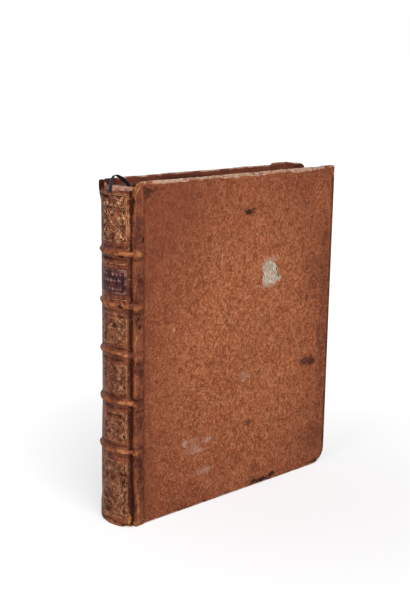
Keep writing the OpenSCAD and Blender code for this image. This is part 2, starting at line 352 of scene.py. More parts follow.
sponged = {
    "low": (0.378, 0.107, 0.044), "high": (0.50, 0.158, 0.066), "olive": (0.37, 0.155, 0.066),
    "pink": (0.50, 0.140, 0.068), "light": (0.66, 0.262, 0.126), "thread": (0.190, 0.043, 0.017),
    "print": (0.165, 0.040, 0.016), "fibre": (0.56, 0.27, 0.155), "paintedShade": (0.172, 0.044, 0.025),
    "red": (0.105, 0.030, 0.020), "dark": (0.050, 0.018, 0.013), "torn": (0.56, 0.285, 0.155),
    "paleEdge": (0.58, 0.37, 0.28),
}
marks = {
    "darkColor": (0.045, 0.018, 0.012), "paleColor": (0.60, 0.42, 0.33),
    # x, z, half width, half height in mm, raggedness, grain per metre, strength
    "dark": [
        (138.6, 274.2, 5.6, 2.7, 1.6, 420, 0.95), (141.5, 275.0, 12.0, 3.6, 3.0, 380, 0.6),
        (227.0, 115.4, 14.5, 5.4, 1.5, 260, 0.72), (233.0, 113.0, 8.0, 4.0, 1.8, 420, 0.5),
        (144.0, 67.6, 4.4, 4.4, 1.6, 420, 0.65), (92.3, 137.0, 3.2, 2.2, 2.2, 500, 0.4),
        (166.0, 3.6, 17.0, 2.8, 2.8, 300, 1.0), (179.0, 5.6, 5.0, 3.4, 1.8, 420, 1.0),
        (152.0, 6.0, 9.0, 4.0, 3.2, 420, 0.5), (88.0, 1.4, 3.5, 2.0, 2.0, 420, 0.9),
        (116.0, 1.4, 4.5, 2.2, 2.2, 420, 0.8), (204.0, 1.4, 9.0, 1.8, 2.4, 420, 0.6),
        (16.0, 301.5, 8.0, 5.0, 2.6, 300, 0.7), (25.0, 303.0, 10.0, 2.6, 2.6, 300, 0.45),
        (236.0, 31.0, 22.0, 16.0, 2.6, 120, 0.25), (228.0, 205.0, 18.0, 30.0, 2.4, 100, 0.22),
        (246.0, 160.0, 9.0, 120.0, 2.0, 90, 0.30), (239.0, 3.4, 9.5, 1.7, 1.6, 320, 0.85),
        (245.2, 5.2, 4.0, 1.9, 1.8, 320, 0.75),
    ],
    "pale": [
        (163.5, 223.0, 8.0, 6.0, 2.2, 520, 0.42), (172.0, 226.0, 9.0, 3.6, 2.6, 520, 0.36),
        (168.0, 201.0, 12.0, 3.0, 2.6, 520, 0.4), (61.5, 65.0, 4.0, 3.6, 2.6, 600, 0.50),
        (70.0, 67.0, 7.0, 1.8, 2.6, 700, 0.32), (90.0, 63.0, 6.0, 2.6, 3.2, 700, 0.45),
        (78.5, 54.5, 13.0, 2.0, 3.0, 700, 0.28), (72.0, 59.0, 11.0, 5.0, 3.6, 800, 0.24),
        (87.0, 34.0, 10.0, 3.2, 3.4, 700, 0.34), (79.0, 31.5, 8.0, 1.8, 3.0, 700, 0.28),
        (138.0, 117.0, 8.0, 4.4, 3.6, 700, 0.26), (136.0, 112.0, 4.0, 2.0, 3.0, 700, 0.3),
        (47.6, 175.9, 2.0, 2.8, 2.4, 600, 0.5), (105.4, 235.0, 1.2, 9.0, 3.0, 500, 0.3),
        (238.0, 0.6, 12.0, 1.6, 1.2, 420, 0.75), (249.0, 3.4, 3.6, 2.4, 1.2, 420, 0.75),
    ],
}


def addMarks(s, base):
    group, front = markGroup(), s.attribute("front")
    for kind in ("dark", "pale"):
        for x, z, width, height, ragged, grain, strength in marks[kind]:
            mark = s.group(group, {"Place X": (x + shiftX) / 1000, "Place Z": z / 1000,
                                   "Size X": width / 1000, "Size Z": height / 1000,
                                   "Ragged": ragged, "Grain": float(grain)})["Mask"]
            base = s.tint(base, s.times(mark, strength), front, marks[kind + "Color"])
    return base


def paperMaterial():
    # sponged paper: dark worm-like prints over a warm ground
    s = newMaterial("spongedPaper", 0.6, 0.04)
    prints, worm = s.noise(240, 2.5, 0.6, 1.2), s.noise(170, 2.5, 0.55, 1.2)
    tone, fine = s.noise(55, 3, 0.6), s.noise(1500, 2, 0.6)
    base = s.mix(s.step(s.noise(11, 4, 0.65), 0.32, 0.68), sponged["low"], sponged["high"])
    base = s.tint(base, s.step(tone, 0.50, 0.66), 0.40, sponged["olive"])
    base = s.tint(base, s.step(tone, 0.48, 0.34), 0.35, sponged["pink"])
    base = s.tint(base, s.step(s.noise((520, 520, 440), 2, 0.55, 0.8), 0.47, 0.60), 0.78, sponged["light"])
    thread = s.minus(1.0, s.step(calc(s.tree, "ABSOLUTE", s.minus(worm, 0.5)), 0.012, 0.055))
    base = s.tint(base, thread, 0.62, sponged["thread"])
    base = s.tint(base, s.step(prints, 0.51, 0.60), 0.62, sponged["print"])
    base = s.tint(base, s.step(fine, 0.52, 0.72), 0.25, sponged["fibre"])
    # painted shade towards the edges, then the marks
    base = addMarks(s, s.tint(base, s.attribute("paintedShade"), 0.70, sponged["paintedShade"]))
    # darker red on the board's edge and turn-in, partly its colour and partly painted shade
    base = s.tint(base, s.attribute("red"), 0.9, sponged["red"])
    base = s.tint(base, s.attribute("dark"), 0.8, sponged["dark"])
    base = s.mix(s.step(s.plus(s.attribute("torn"), s.swing(fine, 0.9)), 0.45, 0.7), base, sponged["torn"])
    # pale rubbed edges, and on the back board a painted highlight along its head
    rubbed = s.step(s.plus(s.attribute("paleEdge"), s.swing(fine, 1.2)), 0.42, 0.72)
    s.feed("Base Color", s.mix(rubbed, base, sponged["paleEdge"]))
    s.bump(s.plus(s.times(fine, 0.6), s.times(prints, 0.4)), 0.35, 0.0003)
    return s.material


pulp = {
    "low": (0.44, 0.245, 0.160), "high": (0.70, 0.49, 0.37), "stain": (0.22, 0.075, 0.042),
    "bareLow": (0.42, 0.33, 0.25), "bareHigh": (0.74, 0.64, 0.51), "bareStain": (0.42, 0.27, 0.18),
    "slit": (0.06, 0.03, 0.02),
}


def boardMaterial():
    s = newMaterial("pasteboard", 0.9, 0.03)
    fibre, mark = s.noise((260, 260, 1500), 4, 0.6), s.noise((760, 760, 300), 3, 0.6)
    cloud = s.noise(160, 4, 0.6)
    base = s.mix(s.step(fibre, 0.35, 0.68), pulp["low"], pulp["high"])
    base = s.tint(base, s.step(cloud, 0.49, 0.64), 0.75, pulp["stain"])
    # it is greyer where a patch of the paper is lost, with one slit there
    bare = s.mix(s.step(mark, 0.40, 0.60), pulp["bareLow"], pulp["bareHigh"])
    bare = s.tint(bare, s.step(cloud, 0.47, 0.60), 0.55, pulp["bareStain"])
    bare = s.mix(s.attribute("slit"), bare, pulp["slit"])
    s.feed("Base Color", s.mix(s.attribute("patch"), base, bare))
    s.bump(s.plus(fibre, mark), 0.7, 0.0006)
    return s.material


edges = {
    "low": (0.30, 0.195, 0.105), "high": (0.60, 0.46, 0.29), "brown": (0.26, 0.15, 0.075),
    "dustShadeLow": (0.090, 0.028, 0.020), "dustShadeHigh": (0.185, 0.060, 0.041), "gap": (0.010, 0.004, 0.003),
}


def leafMaterial():
    # edges of many leaves: fine lines across the thickness, the head darkened by dust and painted shade, and
    # a painted shadow where leaves have sunk
    s = newMaterial("leafEdges", 0.85, 0.03)
    lines = s.noise((22, 5200, 22), 3, 0.6)
    edge = s.step(lines, 0.36, 0.66)
    base = s.mix(edge, edges["low"], edges["high"])
    base = s.tint(base, s.step(s.noise(60, 4, 0.6), 0.46, 0.66), 0.45, edges["brown"])
    # the head: dust with painted shade
    base = s.tint(base, s.attribute("dustAndShade"), 0.9, s.mix(edge, edges["dustShadeLow"], edges["dustShadeHigh"]))
    # painted shadow: near black on the heads of the sunk leaves
    s.feed("Base Color", s.mix(s.attribute("gap"), base, edges["gap"]))
    s.bump(lines, 0.6, 0.0005)
    return s.material


def plainMaterial(name, scale, low, high):
    s = newMaterial(name, 0.85, 0.05)
    s.feed("Base Color", s.mix(s.step(s.noise(scale, 5, 0.65), 0.35, 0.68), low, high))
    s.bump(s.noise(1800), 0.3, 0.0003)
    return s.material


silk = {"low": (0.008, 0.009, 0.010), "high": (0.022, 0.024, 0.032), "sheen": (0.30, 0.33, 0.62, 1)}


def ribbonMaterial():
    s = newMaterial("ribbonSilk", 0.5, 0.15)
    s.feed("Sheen Weight", 0.16)
    s.feed("Sheen Tint", silk["sheen"])
    faded = s.step(s.noise(240, 3, 0.6), 0.4, 0.65)
    s.feed("Base Color", s.mix(faded, silk["low"], silk["high"]))
    weave = [s.times(calc(s.tree, "SINE", s.times(s.attribute(key), threads)), depth)
             for key, threads, depth in (("along", 14.0, 0.3), ("across", 17.0, 0.2))]
    s.bump(s.plus(*weave), 0.5, 0.0002)
    return s.material


leather, labelLeather = leatherMaterial(), labelMaterial()
gilt = giltMaterial("wornGilt", (0.23, 0.078, 0.038), (0.68, 0.350, 0.175))
faintGilt = giltMaterial("faintGilt", (0.18, 0.070, 0.055), (0.56, 0.300, 0.225))
sidePaper, pasteboard = paperMaterial(), boardMaterial()
leafEdges, ribbonSilk = leafMaterial(), ribbonMaterial()
agedPaper = plainMaterial("agedPaper", 40, (0.46, 0.34, 0.21), (0.66, 0.55, 0.39))
hemp = plainMaterial("hemp", 400, (0.30, 0.21, 0.11), (0.42, 0.31, 0.18))
paleThread = plainMaterial("paleThread", 700, (0.40, 0.30, 0.18), (0.55, 0.43, 0.28))
redThread = plainMaterial("redThread", 700, (0.22, 0.075, 0.05), (0.34, 0.13, 0.08))
print("materials ready")


# ribbon marker: out of the leaves, over the headcap and down the spine

ribbon = {
    "width": 4.0, "thick": 0.36, "fray": 0.5, "across": 11, "perStretch": 6,
    # x from the shoulder, y, z above the leaves, turn of the width in degrees
    "route": [
        (9, -8, 0, 0), (8.6, -7.9, 0.9, 8), (7.7, -7.8, 2, 16), (6.2, -7.6, 3.7, 24), (4.4, -7.3, 5.4, 30),
        (2.1, -7, 7.3, 32), (-0.3, -6.6, 9.1, 30), (-2.6, -6.3, 10.5, 24), (-4.6, -6, 11.2, 16),
        (-6.4, -5.8, 10.8, 8), (-7.6, -5.6, 9.4, 2), (-8.6, -5.5, 7.6, -2), (-9.2, -5.4, 5.6, -5),
        (-9.5, -5.2, 3.4, -7), (-9.55, -4.7, 1, -8), (-9.6, -4.2, -1.1, -8), (-9.65, -3.7, -3.2, -8),
    ],
}


def ribbonPiece():
    line = splinePoints(ribbon["route"], ribbon["perStretch"])
    middle = line[:, :3] + (0, 0, book["leafHead"])
    turn = np.radians(line[:, 3])[:, None]
    along = unit(np.gradient(middle, axis=0))
    level = unit(np.array([0, 1, 0]) - along[:, 1:2] * along)
    wide = level * np.cos(turn) + np.cross(along, level) * np.sin(turn)
    face = np.cross(along, wide)
    across = np.linspace(-1, 1, ribbon["across"])
    length = lengthAlong(middle)
    rings = []
    for k in range(len(middle)):
        half = 0.5 * ribbon["width"] * (1 - 0.05 * abs(noise(length[k], 0, 6, 3)))
        cup = 0.16 * across ** 2 + 0.05 * np.sin(5 * across + length[k] * 0.4)
        thick = 0.5 * ribbon["thick"] * (1 - 0.5 * across ** 8)
        ragged = ribbon["fray"] * noise(across * 4, 0, 0.6, 5) if k == len(middle) - 1 else 0 * across
        flat = middle[k] + across[:, None] * half * wide[k]
        flat = flat + cup[:, None] * face[k] + ragged[:, None] * along[k]
        rings.append(np.vstack([flat + thick[:, None] * face[k], (flat - thick[:, None] * face[k])[::-1]]))
    rings = np.array(rings)
    count, around = rings.shape[:2]
    bothFaces = np.concatenate([across, across[::-1]])
    values = {"along": np.repeat(length, around), "across": np.tile(bothFaces, count)}
    obj = makePiece("ribbonMarker", rings.reshape(-1, 3), tubeFaces(count, around), ribbonSilk, values)
    dress(obj, "block", "ribbon_marker")


ribbonPiece()
print("ribbon ready")


# the sewn leaves: one loop of points for each bundle of leaves

leaves = {
    "bundles": 171, "uneven": 0.16, "hollow": 5.0, "wave": 0.35, "across": 36, "upright": 40,
    # some leaves have sunk beside the back board: y, half width and depth, then where in x
    "sunk": (13.5, 3.6, 1.2), "sunkFrom": (54, 68), "sunkTo": (130, 108),
}


def leafBlock():
    half, spineHalf = book["blockT"] / 2, book["spineHalf"]
    shoulder = np.linspace(half + 0.02, spineHalf - 0.02, 9)
    y = np.concatenate([-shoulder[::-1], np.linspace(-half, half, leaves["bundles"]), shoulder])
    back = book["backX"] - np.sqrt(book["backR"] ** 2 - y ** 2)
    foreR = (half ** 2 + leaves["hollow"] ** 2) / (2 * leaves["hollow"])
    fore = book["pageW"] - leaves["hollow"] + foreR - np.sqrt(foreR ** 2 - np.clip(y, -half, half) ** 2)
    slope = 0.2 + (book["joint"] - 0.2) * (spineHalf - np.abs(y)) / (spineHalf - half)
    isLeaf = np.abs(y) <= half
    fore = np.where(isLeaf, fore, np.maximum(slope, back + 0.05))
    jitter = lattice(np.arange(len(y)), 3.0, 2.0) - 0.5
    sunkY, sunkHalf, sunkDepth = leaves["sunk"]
    loops, dustAndShade, gap = [], [], []
    for k in range(len(y)):
        uneven = leaves["uneven"] * jitter[k] if isLeaf[k] else 0
        x = back[k] + (fore[k] - back[k]) * np.linspace(0, 1, leaves["across"])
        sunk = math.exp(-((y[k] - sunkY) / sunkHalf) ** 2)
        sunk = sunk * smooth(*leaves["sunkFrom"], x) * smooth(*leaves["sunkTo"], x)
        head = book["leafHead"] + uneven + 0.10 * noise(x, y[k], 30, 4) - sunkDepth * sunk
        tail = book["leafTail"] - 0.3 * uneven + 0.02
        rows = np.linspace(tail, head[-1], leaves["upright"])[1:-1]
        calm = isLeaf[k] * np.minimum(1, (half - abs(y[k])) / 3)
        front = fore[k] - 0.2 * isLeaf[k] + uneven + leaves["wave"] * rough(rows, y[k], 45, 6, 2) * calm
        sides = ((x, 0 * x + tail), (front, rows), (x[::-1], head[::-1]))
        loops.append(np.vstack([np.stack([a, 0 * a + y[k], b], 1) for a, b in sides]))
        dustAndShade.append(np.concatenate([0 * x, 0 * rows, 1 + 0 * x]))
        # the sunk leaves are also marked for a painted shadow
        gap.append(np.concatenate([0 * x, 0 * rows, sunk[::-1]]))
    loops = np.array(loops)
    faces = [f[::-1] for f in tubeFaces(*loops.shape[:2])]
    masks = {"dustAndShade": np.concatenate(dustAndShade), "gap": np.concatenate(gap)}
    obj = makePiece("leafBlock", loops.reshape(-1, 3), faces, leafEdges, masks, flat=True)
    dress(obj, "block", "text_block")


leafBlock()
print("leaves ready")


# geometry nodes helpers

def geo(tree, kind, links=None, **settings):
    return addNode(tree, "GeometryNode" + kind, links, **settings)[0]


def namedAttribute(tree, name, kind):
    return geo(tree, "InputNamedAttribute", {"Name": name}, data_type=kind)


def combine(tree, **parts):
    return addNode(tree, "ShaderNodeCombineXYZ", parts)[0]


def newTree(name, inputs):
    tree = bpy.data.node_groups.new(name, "GeometryNodeTree")
    for key, kind in (("Geometry", "Geometry"), *inputs):
        tree.interface.new_socket(key, in_out="INPUT", socket_type="NodeSocket" + kind)
    tree.interface.new_socket("Geometry", in_out="OUTPUT", socket_type="NodeSocketGeometry")
    return tree, tree.nodes.new("NodeGroupInput").outputs, tree.nodes.new("NodeGroupOutput").inputs


def applyTree(obj, tree, values):
    modifier = obj.modifiers.new("build", "NODES")
    modifier.node_group = tree
    for item in tree.interface.items_tree:
        if item.in_out == "INPUT" and item.name in values:
            modifier[item.identifier] = values[item.name]
    evaluated = obj.evaluated_get(bpy.context.evaluated_depsgraph_get())
    mesh = bpy.data.meshes.new_from_object(evaluated)
    obj.modifiers.clear()
    obj.data = mesh


# endbands: thread wound round a core, in two colours by turns

endband = {
    "radius": 0.78, "thread": 0.32, "turns": 96, "sameColor": 6.0,
    "inset": 1.8, "short": 5.8, "above": 1.2, "points": 49,
}


def windingTree():
    tree, inn, out = newTree("windingTree", [("Turns", "Int"), ("Same Color", "Float"), ("Radius", "Float"),
                                             ("Thread", "Float"), ("Pale", "Material"), ("Red", "Material")])
    curve = geo(tree, "MeshToCurve", {"Mesh": inn["Geometry"]})
    coreRing, loop, thread = (geo(tree, "CurvePrimitiveCircle", {"Resolution": sides, "Radius": inn[size]})
                              for sides, size in ((10, "Radius"), (12, "Radius"), (5, "Thread")))
    core = geo(tree, "CurveToMesh", {"Curve": curve, "Profile Curve": coreRing, "Fill Caps": True})
    wound = geo(tree, "CurveToMesh", {"Curve": loop, "Profile Curve": thread})
    points = addNode(tree, "GeometryNodeCurveToPoints", {"Curve": curve, "Count": inn["Turns"]}, mode="COUNT")
    bundle = calc(tree, "FLOOR", calc(tree, "DIVIDE", geo(tree, "InputIndex"), inn["Same Color"]))
    marked = geo(tree, "StoreNamedAttribute",
                 {"Geometry": points["Points"], "Name": "red", "Value": calc(tree, "MODULO", bundle, 2.0)},
                 data_type="BOOLEAN", domain="POINT")
    rings = geo(tree, "InstanceOnPoints",
                {"Points": marked, "Instance": wound, "Rotation": points["Rotation"]})
    joined = tree.nodes.new("GeometryNodeJoinGeometry")
    for part in (core, rings):
        tree.links.new(part, joined.inputs[0])
    real = geo(tree, "RealizeInstances", {"Geometry": joined.outputs[0]})
    isRed = namedAttribute(tree, "red", "BOOLEAN")
    real = geo(tree, "SetMaterial", {"Geometry": real, "Material": inn["Pale"]})
    real = geo(tree, "SetMaterial", {"Geometry": real, "Selection": isRed, "Material": inn["Red"]})
    tree.links.new(real, out["Geometry"])
    return tree


def endbandPieces():
    tree = windingTree()
    values = {"Turns": endband["turns"], "Same Color": endband["sameColor"],
              "Radius": endband["radius"] / 1000, "Thread": endband["thread"] / 1000,
              "Pale": paleThread, "Red": redThread}
    radius = book["backR"] - endband["inset"]
    turn = np.linspace(-1, 1, endband["points"]) * (book["backA"] - math.radians(endband["short"]))
    for name, nodeName, z in (("headEndband", "head_endband", book["leafHead"] + endband["above"]),
                              ("tailEndband", "tail_endband", book["leafTail"] - endband["above"])):
        mesh = bpy.data.meshes.new(name)
        line = np.stack([book["backX"] - radius * np.cos(turn), radius * np.sin(turn), 0 * turn + z], 1)
        mesh.from_pydata(toFrame(line).tolist(), [(k, k + 1) for k in range(len(line) - 1)], [])
        obj = newObject(name, mesh)
        applyTree(obj, tree, values)
        dress(obj, "block", nodeName)


endbandPieces()
print("endbands ready")


# leather over the spine, the grooves and the edges of the boards

hide = {
    "bands": [72.0, 117.3, 161.0, 204.6, 250.0], "slips": [69.0, 114.0, 157.6, 202.6, 249.4],
    "bandRise": 2.05, "bandHalf": 3.7, "slipRise": 1.25, "cornerHead": 3.0, "cornerTail": 0.7,
    "groove": (1.1, -20.45),  # x and y of its floor
    "rimAt": (15.0, 297.0, 11.6),  # x, z and radius of the worn rim at the head
    "blend": (1.25, 4.4),  # x where the leather starts and ends to follow a cover
    "columnStep": 0.42, "coverStep": 0.36, "rowStep": 0.55,
    "tailRows": (10, 0.28), "headRows": (12, 0.35),  # length and step of the finer rows
    "roundTurn": 35.5, "roundPoints": 60, "sectionPoints": 16,
    # section from the end of the round back to the board, x and y
    "section": [(-1.45, -20.72), (-0.75, -21.2), (-0.05, -21.1), (0.5, -20.7), (1.1, -20.45), (1.75, -20.75),
                (2.3, -21.5), (2.75, -22.12), (3.45, -22.48), (4.6, -22.52), (8.0, -22.40), (11.2, -22.1),
                (12.6, -21.9), (14.6, -21.72)],
    # worn places: distance round the spine or from the shoulder, height, half sizes, strength
    "spineDark": [
        (9, 186.8, 4.6, 3, 1), (12.6, 188.6, 3, 2, 1), (17.9, 187.4, 2, 1.6, 1), (16.4, 285.8, 2.4, 3.4, 1),
        (15.3, 271.4, 3, 3.8, 1.1), (15.8, 278.6, 2.4, 2.6, 0.9), (16.9, 41.4, 3, 3.2, 1),
        (15.8, 21.6, 2, 9, 0.7), (15.1, 248, 3, 2, 1), (14.8, 204.2, 2.8, 1.7, 1.1), (8, 178, 3, 2, 0.7),
        (13, 100, 1.6, 7, 0.8), (15, 144, 1.8, 8, 0.7), (14.5, 138, 2, 5, 0.8), (17, 131, 1.2, 8, 0.6),
        (-14, 302, 5, 7, 1.0), (2, 295, 3, 2, 0.5), (5, 262, 3, 2, 0.5), (23.6, 291, 2.0, 15, 1.0),
        (16.5, 290, 5, 7, 0.6),
    ],
    "spineWear": [
        (21.2, 276, 1.3, 21, 0.66), (10.6, 280.4, 2.6, 5, 0.55), (-5, 9, 6, 3.4, 0.8), (2, 2, 15, 2, 0.6),
        (17.5, 266, 2, 3, 0.5), (9, 192.5, 3, 2, 0.6), (-3, 203, 4, 2.4, 0.8), (21.8, 7.5, 1.4, 5, 0.75),
    ],
    "coverDark": [
        (9.4, 226.3, 3.6, 3.6, 0.75), (6.6, 221, 2.4, 2, 0.5), (5.4, 190.5, 2.2, 4.4, 0.7),
        (8.2, 185.2, 2.2, 3.2, 0.85), (12, 262.2, 1.7, 2.6, 1), (9.4, 54, 2.8, 15, 0.6), (10, 100, 3, 9, 0.5),
        (10.4, 28, 2.4, 10, 0.4), (10, 142, 3, 9, 0.5), (1.3, 294, 1.5, 13, 1.0), (11.0, 246, 2, 4, 0.6),
    ],
    "coverWear": [
        (7, 249, 5, 3, 0.8), (7, 202, 4, 2.4, 0.7), (6.4, 20, 1.6, 14, 0.7), (4.2, 40, 1.2, 20, 0.7),
        (9, 4, 6, 3, 0.6), (4.5, 176, 1.4, 3, 0.9),
    ],
}

# gilt tooling on the spine: panels by height, half width, lines and stamps
tooling = {
    "frames": [(9.0, 61.5), (80.5, 107.5), (126.0, 151.5), (170.5, 197.0), (260.0, 301.2)],
    "half": 19.3, "line": 0.5, "gap": 1.25, "lift": 0.05, "filling": 2.7, "besideLabel": (209.6, 240.8),
    "labelRows": (231.8, 226.2, 218.8), "rayFrom": 8.0, "rayLength": 30.0,
}


def spotMask(a, z, spots, seed):
    mask = np.zeros(np.broadcast(a, z).shape)
    uneven = 0.9 * rough(a, z, 3.5, seed, 4)
    for at, high, wide, tall, strength in spots:
        away = np.hypot((a - at) / wide, (z - high) / tall) + uneven
        mask = np.maximum(mask, strength * smooth(1.25, 0.55, away))
    return mask


def hideSection():
    turn = np.linspace(0, math.radians(hide["roundTurn"]), hide["roundPoints"])
    arc = np.stack([book["backX"] - book["hideR"] * np.cos(turn), -book["hideR"] * np.sin(turn)], 1)
    line = np.vstack([arc[:-1], splinePoints([arc[-1], *hide["section"]], hide["sectionPoints"])])
    s = lengthAlong(line)
    tangent = unit(np.gradient(line, s, axis=0))
    normal = np.stack([tangent[:, 1], -tangent[:, 0]], 1)
    return s, line, normal, s[np.argmin(np.linalg.norm(line - hide["groove"], axis=1))]


sectionS, sectionLine, sectionNormal, grooveS = hideSection()


def onSection(s):
    return tuple(np.interp(np.abs(s), sectionS, column) for column in (*sectionLine.T, *sectionNormal.T))


def bandLines(s):
    # bands on the spine run over the groove to the slips on the board
    onBoard = smooth(grooveS - 2, grooveS + 4, s)
    return onBoard, [band + (slip - band) * onBoard for band, slip in zip(hide["bands"], hide["slips"])]


def hideBump(x, s, z, seed):
    onBoard, bands = bandLines(s)
    rise = np.zeros(np.broadcast(x, z).shape)
    fill = 0.45 * np.exp(-((s - grooveS) / 1.9) ** 2)
    for k, band in enumerate(bands):
        middle = band + 0.3 * noise(s, k * 9.0, 9, seed)
        fade = 1 - smooth(8.2, 12.4, x + 0.9 * np.abs(z - middle) - 1.2 + 0.7 * noise(z, k, 3, seed + 5))
        height = (hide["bandRise"] * (1 - onBoard) + hide["slipRise"] * onBoard) * fade
        across = np.clip((z - middle) / (hide["bandHalf"] + 0.5 * onBoard), -1, 1)
        rise += (height + fill) * (0.5 + 0.5 * np.cos(math.pi * across)) ** 0.75
    return rise


def hideWear(x, s, z, rise, top, low, seed):
    # rubbed bands, their pale crests partly a painted highlight, edge of the board, head and tail, and a few
    # spots
    crestWearAndHighlight = smooth(0.55, 1.8, rise) * (0.60 + 1.3 * rough(s, z * 1.3, 3.2, seed, 4))
    edgeX = 3.5 + 3.0 * smooth(42, 8, z) + 0.5 * noise(z, 0 * z, 12, seed + 2)
    edgeHalf = 0.8 + 0.35 * noise(z, 0 * z, 17, seed + 4)
    broken = (0.46 + 1.05 * rough(s * 0.4, z, 7, seed + 3, 4)) * (0.30 + 0.70 * smooth(250, 150, z))
    edge = np.exp(-((x - edgeX) / edgeHalf) ** 2) * broken
    ends = np.maximum(smooth(4.5, 0.5, top - z), smooth(3.5, 0.3, z - low))
    ends = ends * (0.62 + 0.6 * rough(s, z, 4, seed + 6, 2))
    spots = 0.5 * smooth(0.48, 0.75, rough(s, z, 6, seed + 21, 3))
    return np.maximum.reduce([crestWearAndHighlight, edge, ends, spots])


def hideDirtAndShade(x, s, z, rise, seed):
    # painted shade in the groove and beside the bands, darker along the lap, upright streaks and blots of
    # dirt
    # painted shade down the groove
    away = (s - grooveS + 0.6) / np.where(s < grooveS - 0.6, 3.8, 1.7 + 2.4 * smooth(42, 8, z))
    groove = np.exp(-away ** 2) * (1.35 - 0.35 * smooth(205, 265, z)) * (1 - smooth(0.5, 1.3, rise))
    groove = groove * (0.92 + 0.65 * rough(s * 2, z * 0.5, 5, seed + 8, 3))
    # painted shade along both sides of each band
    beside = np.zeros_like(rise)
    for middle in bandLines(s)[1]:
        line = np.exp(-((np.abs(z - middle) - 5.2) / 1.9) ** 2)
        beside = np.maximum(beside, line * (0.5 + 0.5 * rough(s, z, 7, seed + 2, 2)))
    lap = smooth(11.6, 12.9, x) * (0.45 + 0.5 * rough(x, z, 4, seed + 4, 3))
    streak = smooth(0.15, 0.6, rough(x * 2.2, z * 0.35, 4, seed + 14, 3))
    upright = 0.48 * smooth(4.5, 8, x) * streak * smooth(200, 120, z)
    blot = 0.75 * smooth(0.42, 0.70, rough(s * 1.4, z * 0.8, 8, seed + 31, 3))
    return np.maximum.reduce([groove, beside, lap, upright, blot])


def flatterBack(u, z):
    # the back half of the spine lies a little flatter over most of its height
    return 1.4 * smooth(-5, -16, u) * smooth(50, 140, z) * smooth(304, 290, z)


def capArc(middle, high, start, end):
    # rounded turn-over of the leather: distance out and height
    turn = np.radians(np.linspace(start, end, 12))
    return [(middle + book["cap"] * math.cos(a), high + book["cap"] * math.sin(a)) for a in turn]


def spineProfile():
    cap, head, turnedH = book["cap"], book["spineHead"], book["turnedH"]
    middle = book["turned"] - cap - book["leather"]
    (tailRows, tailStep), (headRows, headStep) = hide["tailRows"], hide["headRows"]
    z = np.concatenate([np.arange(cap, tailRows, tailStep),
                        np.arange(tailRows, head - headRows, hide["rowStep"]),
                        np.arange(head - headRows, head - cap, headStep)])
    ends = np.maximum(smooth(turnedH + 10, turnedH - 4, z),
                      smooth(head - turnedH - 10, head - turnedH + 4, z))
    wall = [((book["turned"] - book["leather"]) * e, h) for e, h in zip(ends, z)]
    inside = [(-book["leather"] + 0.06, h) for h in np.linspace(head - cap - 1, cap + 1, 8)]
    profile = np.array(capArc(middle, cap, 180, 352) + wall + capArc(middle, head - cap, 8, 180) + inside)
    outer = np.ones((len(profile), 1))
    outer[-len(inside):] = 0
    return profile[:, :1], profile[:, 1:], outer


def spineHide():
    head = book["spineHead"]
    s = np.linspace(-grooveS, grooveS, int(2 * grooveS / hide["columnStep"]) | 1)
    x, y, nx, ny = onSection(s)
    y, ny = np.where(s < 0, y, -y), np.where(s < 0, ny, -ny)
    # distance round the spine, the front side positive
    u = -s[None, :]
    out, high, outer = spineProfile()
    full = high * np.ones_like(u)
    aside = np.abs(s)[None, :] * np.ones_like(high)
    rise = hideBump(x[None, :], aside, high, 3.0) * outer
    underLabel = smooth(210, 213, high) * smooth(240.5, 237.5, high) * smooth(22.5, 20.5, np.abs(u))
    uneven = 0.16 * rough(u, high, 14, 8, 3) + 0.07 * rough(u, high, 3, 9, 3)
    uneven = uneven * outer * (1 - 0.85 * underLabel)
    # the tailcap has come loose along a crack
    crackAt = 4.8 - 2.6 * smooth(0, 19, u) + 0.5 * noise(u, 0, 6, 17)
    crack = np.exp(-((high - crackAt) / 0.55) ** 2) * smooth(-15, -6, u) * outer
    lift = out + rise + uneven - 0.75 * crack - flatterBack(u, high) * outer
    # the headcap is worn down, apart from a stump at the back joint
    stump = smooth(-2.5, -5, u)
    worn = 0.8 * rough(u, 0 * high, 7, 15, 3) + 0.1 + (2.0 + 1.4 * smooth(-13, -8, u)) * stump
    bruise = 0.35 * rough(u, 0 * high, 5, 19, 3) + 0.2 + 1.0 * smooth(15, 18.5, u)
    height = high + smooth(head - 9, head, high) * worn + smooth(6, 0, high) * bruise
    points = np.stack([x[None, :] + nx[None, :] * lift, y[None, :] + ny[None, :] * lift, height], 2)
    wear = np.maximum(hideWear(x[None, :], aside, full, rise, head + 50, 0 * full, 5.0),
                      spotMask(u, full, hide["spineWear"], 33.0))
    wear = wear * (1 - stump * smooth(head - 14, head - 8, full))
    pale = smooth(head - 5.4, head - 2.8, full + 1.4 * rough(u, 0 * full, 6, 23, 3)) * smooth(-6, -2, u)
    pale = pale * (0.70 + 0.6 * rough(u, full, 4, 27, 4))
    inPanel = sum(smooth(low - 0.5, low + 1.5, full) * smooth(up + 0.5, up - 1.5, full)
                  for low, up in tooling["frames"])
    inPanel = inPanel * smooth(20.5, 18.5, np.abs(u))
    inPanel = inPanel * (0.42 + 0.12 * smooth(240, 262, full) + 1.1 * rough(u, full, 5, 29, 4))
    # dirt and painted shade, stains, the crack, the dark stump, a painted shadow at the foot beside the front
    # joint, and the darker ground of the panels
    dark = np.maximum.reduce([
        hideDirtAndShade(x[None, :], aside, full, rise, 6.0), spotMask(u, full, hide["spineDark"], 37.0), 1.2 * crack,
        stump * smooth(head - 8, head - 3, full), smooth(5.5, 1.5, full) * smooth(13, 16, u), inPanel])
    rows, cols = lift.shape
    faces = gridFaces(rows, cols, True) + stripEnds(rows, cols)
    masks = {"wear": wear, "dark": dark * (1 - 0.7 * pale), "pale": pale}
    obj = makePiece("spineLeather", points.reshape(-1, 3), faces, leather, masks)
    dress(obj, "block", "spine_leather")
    return obj


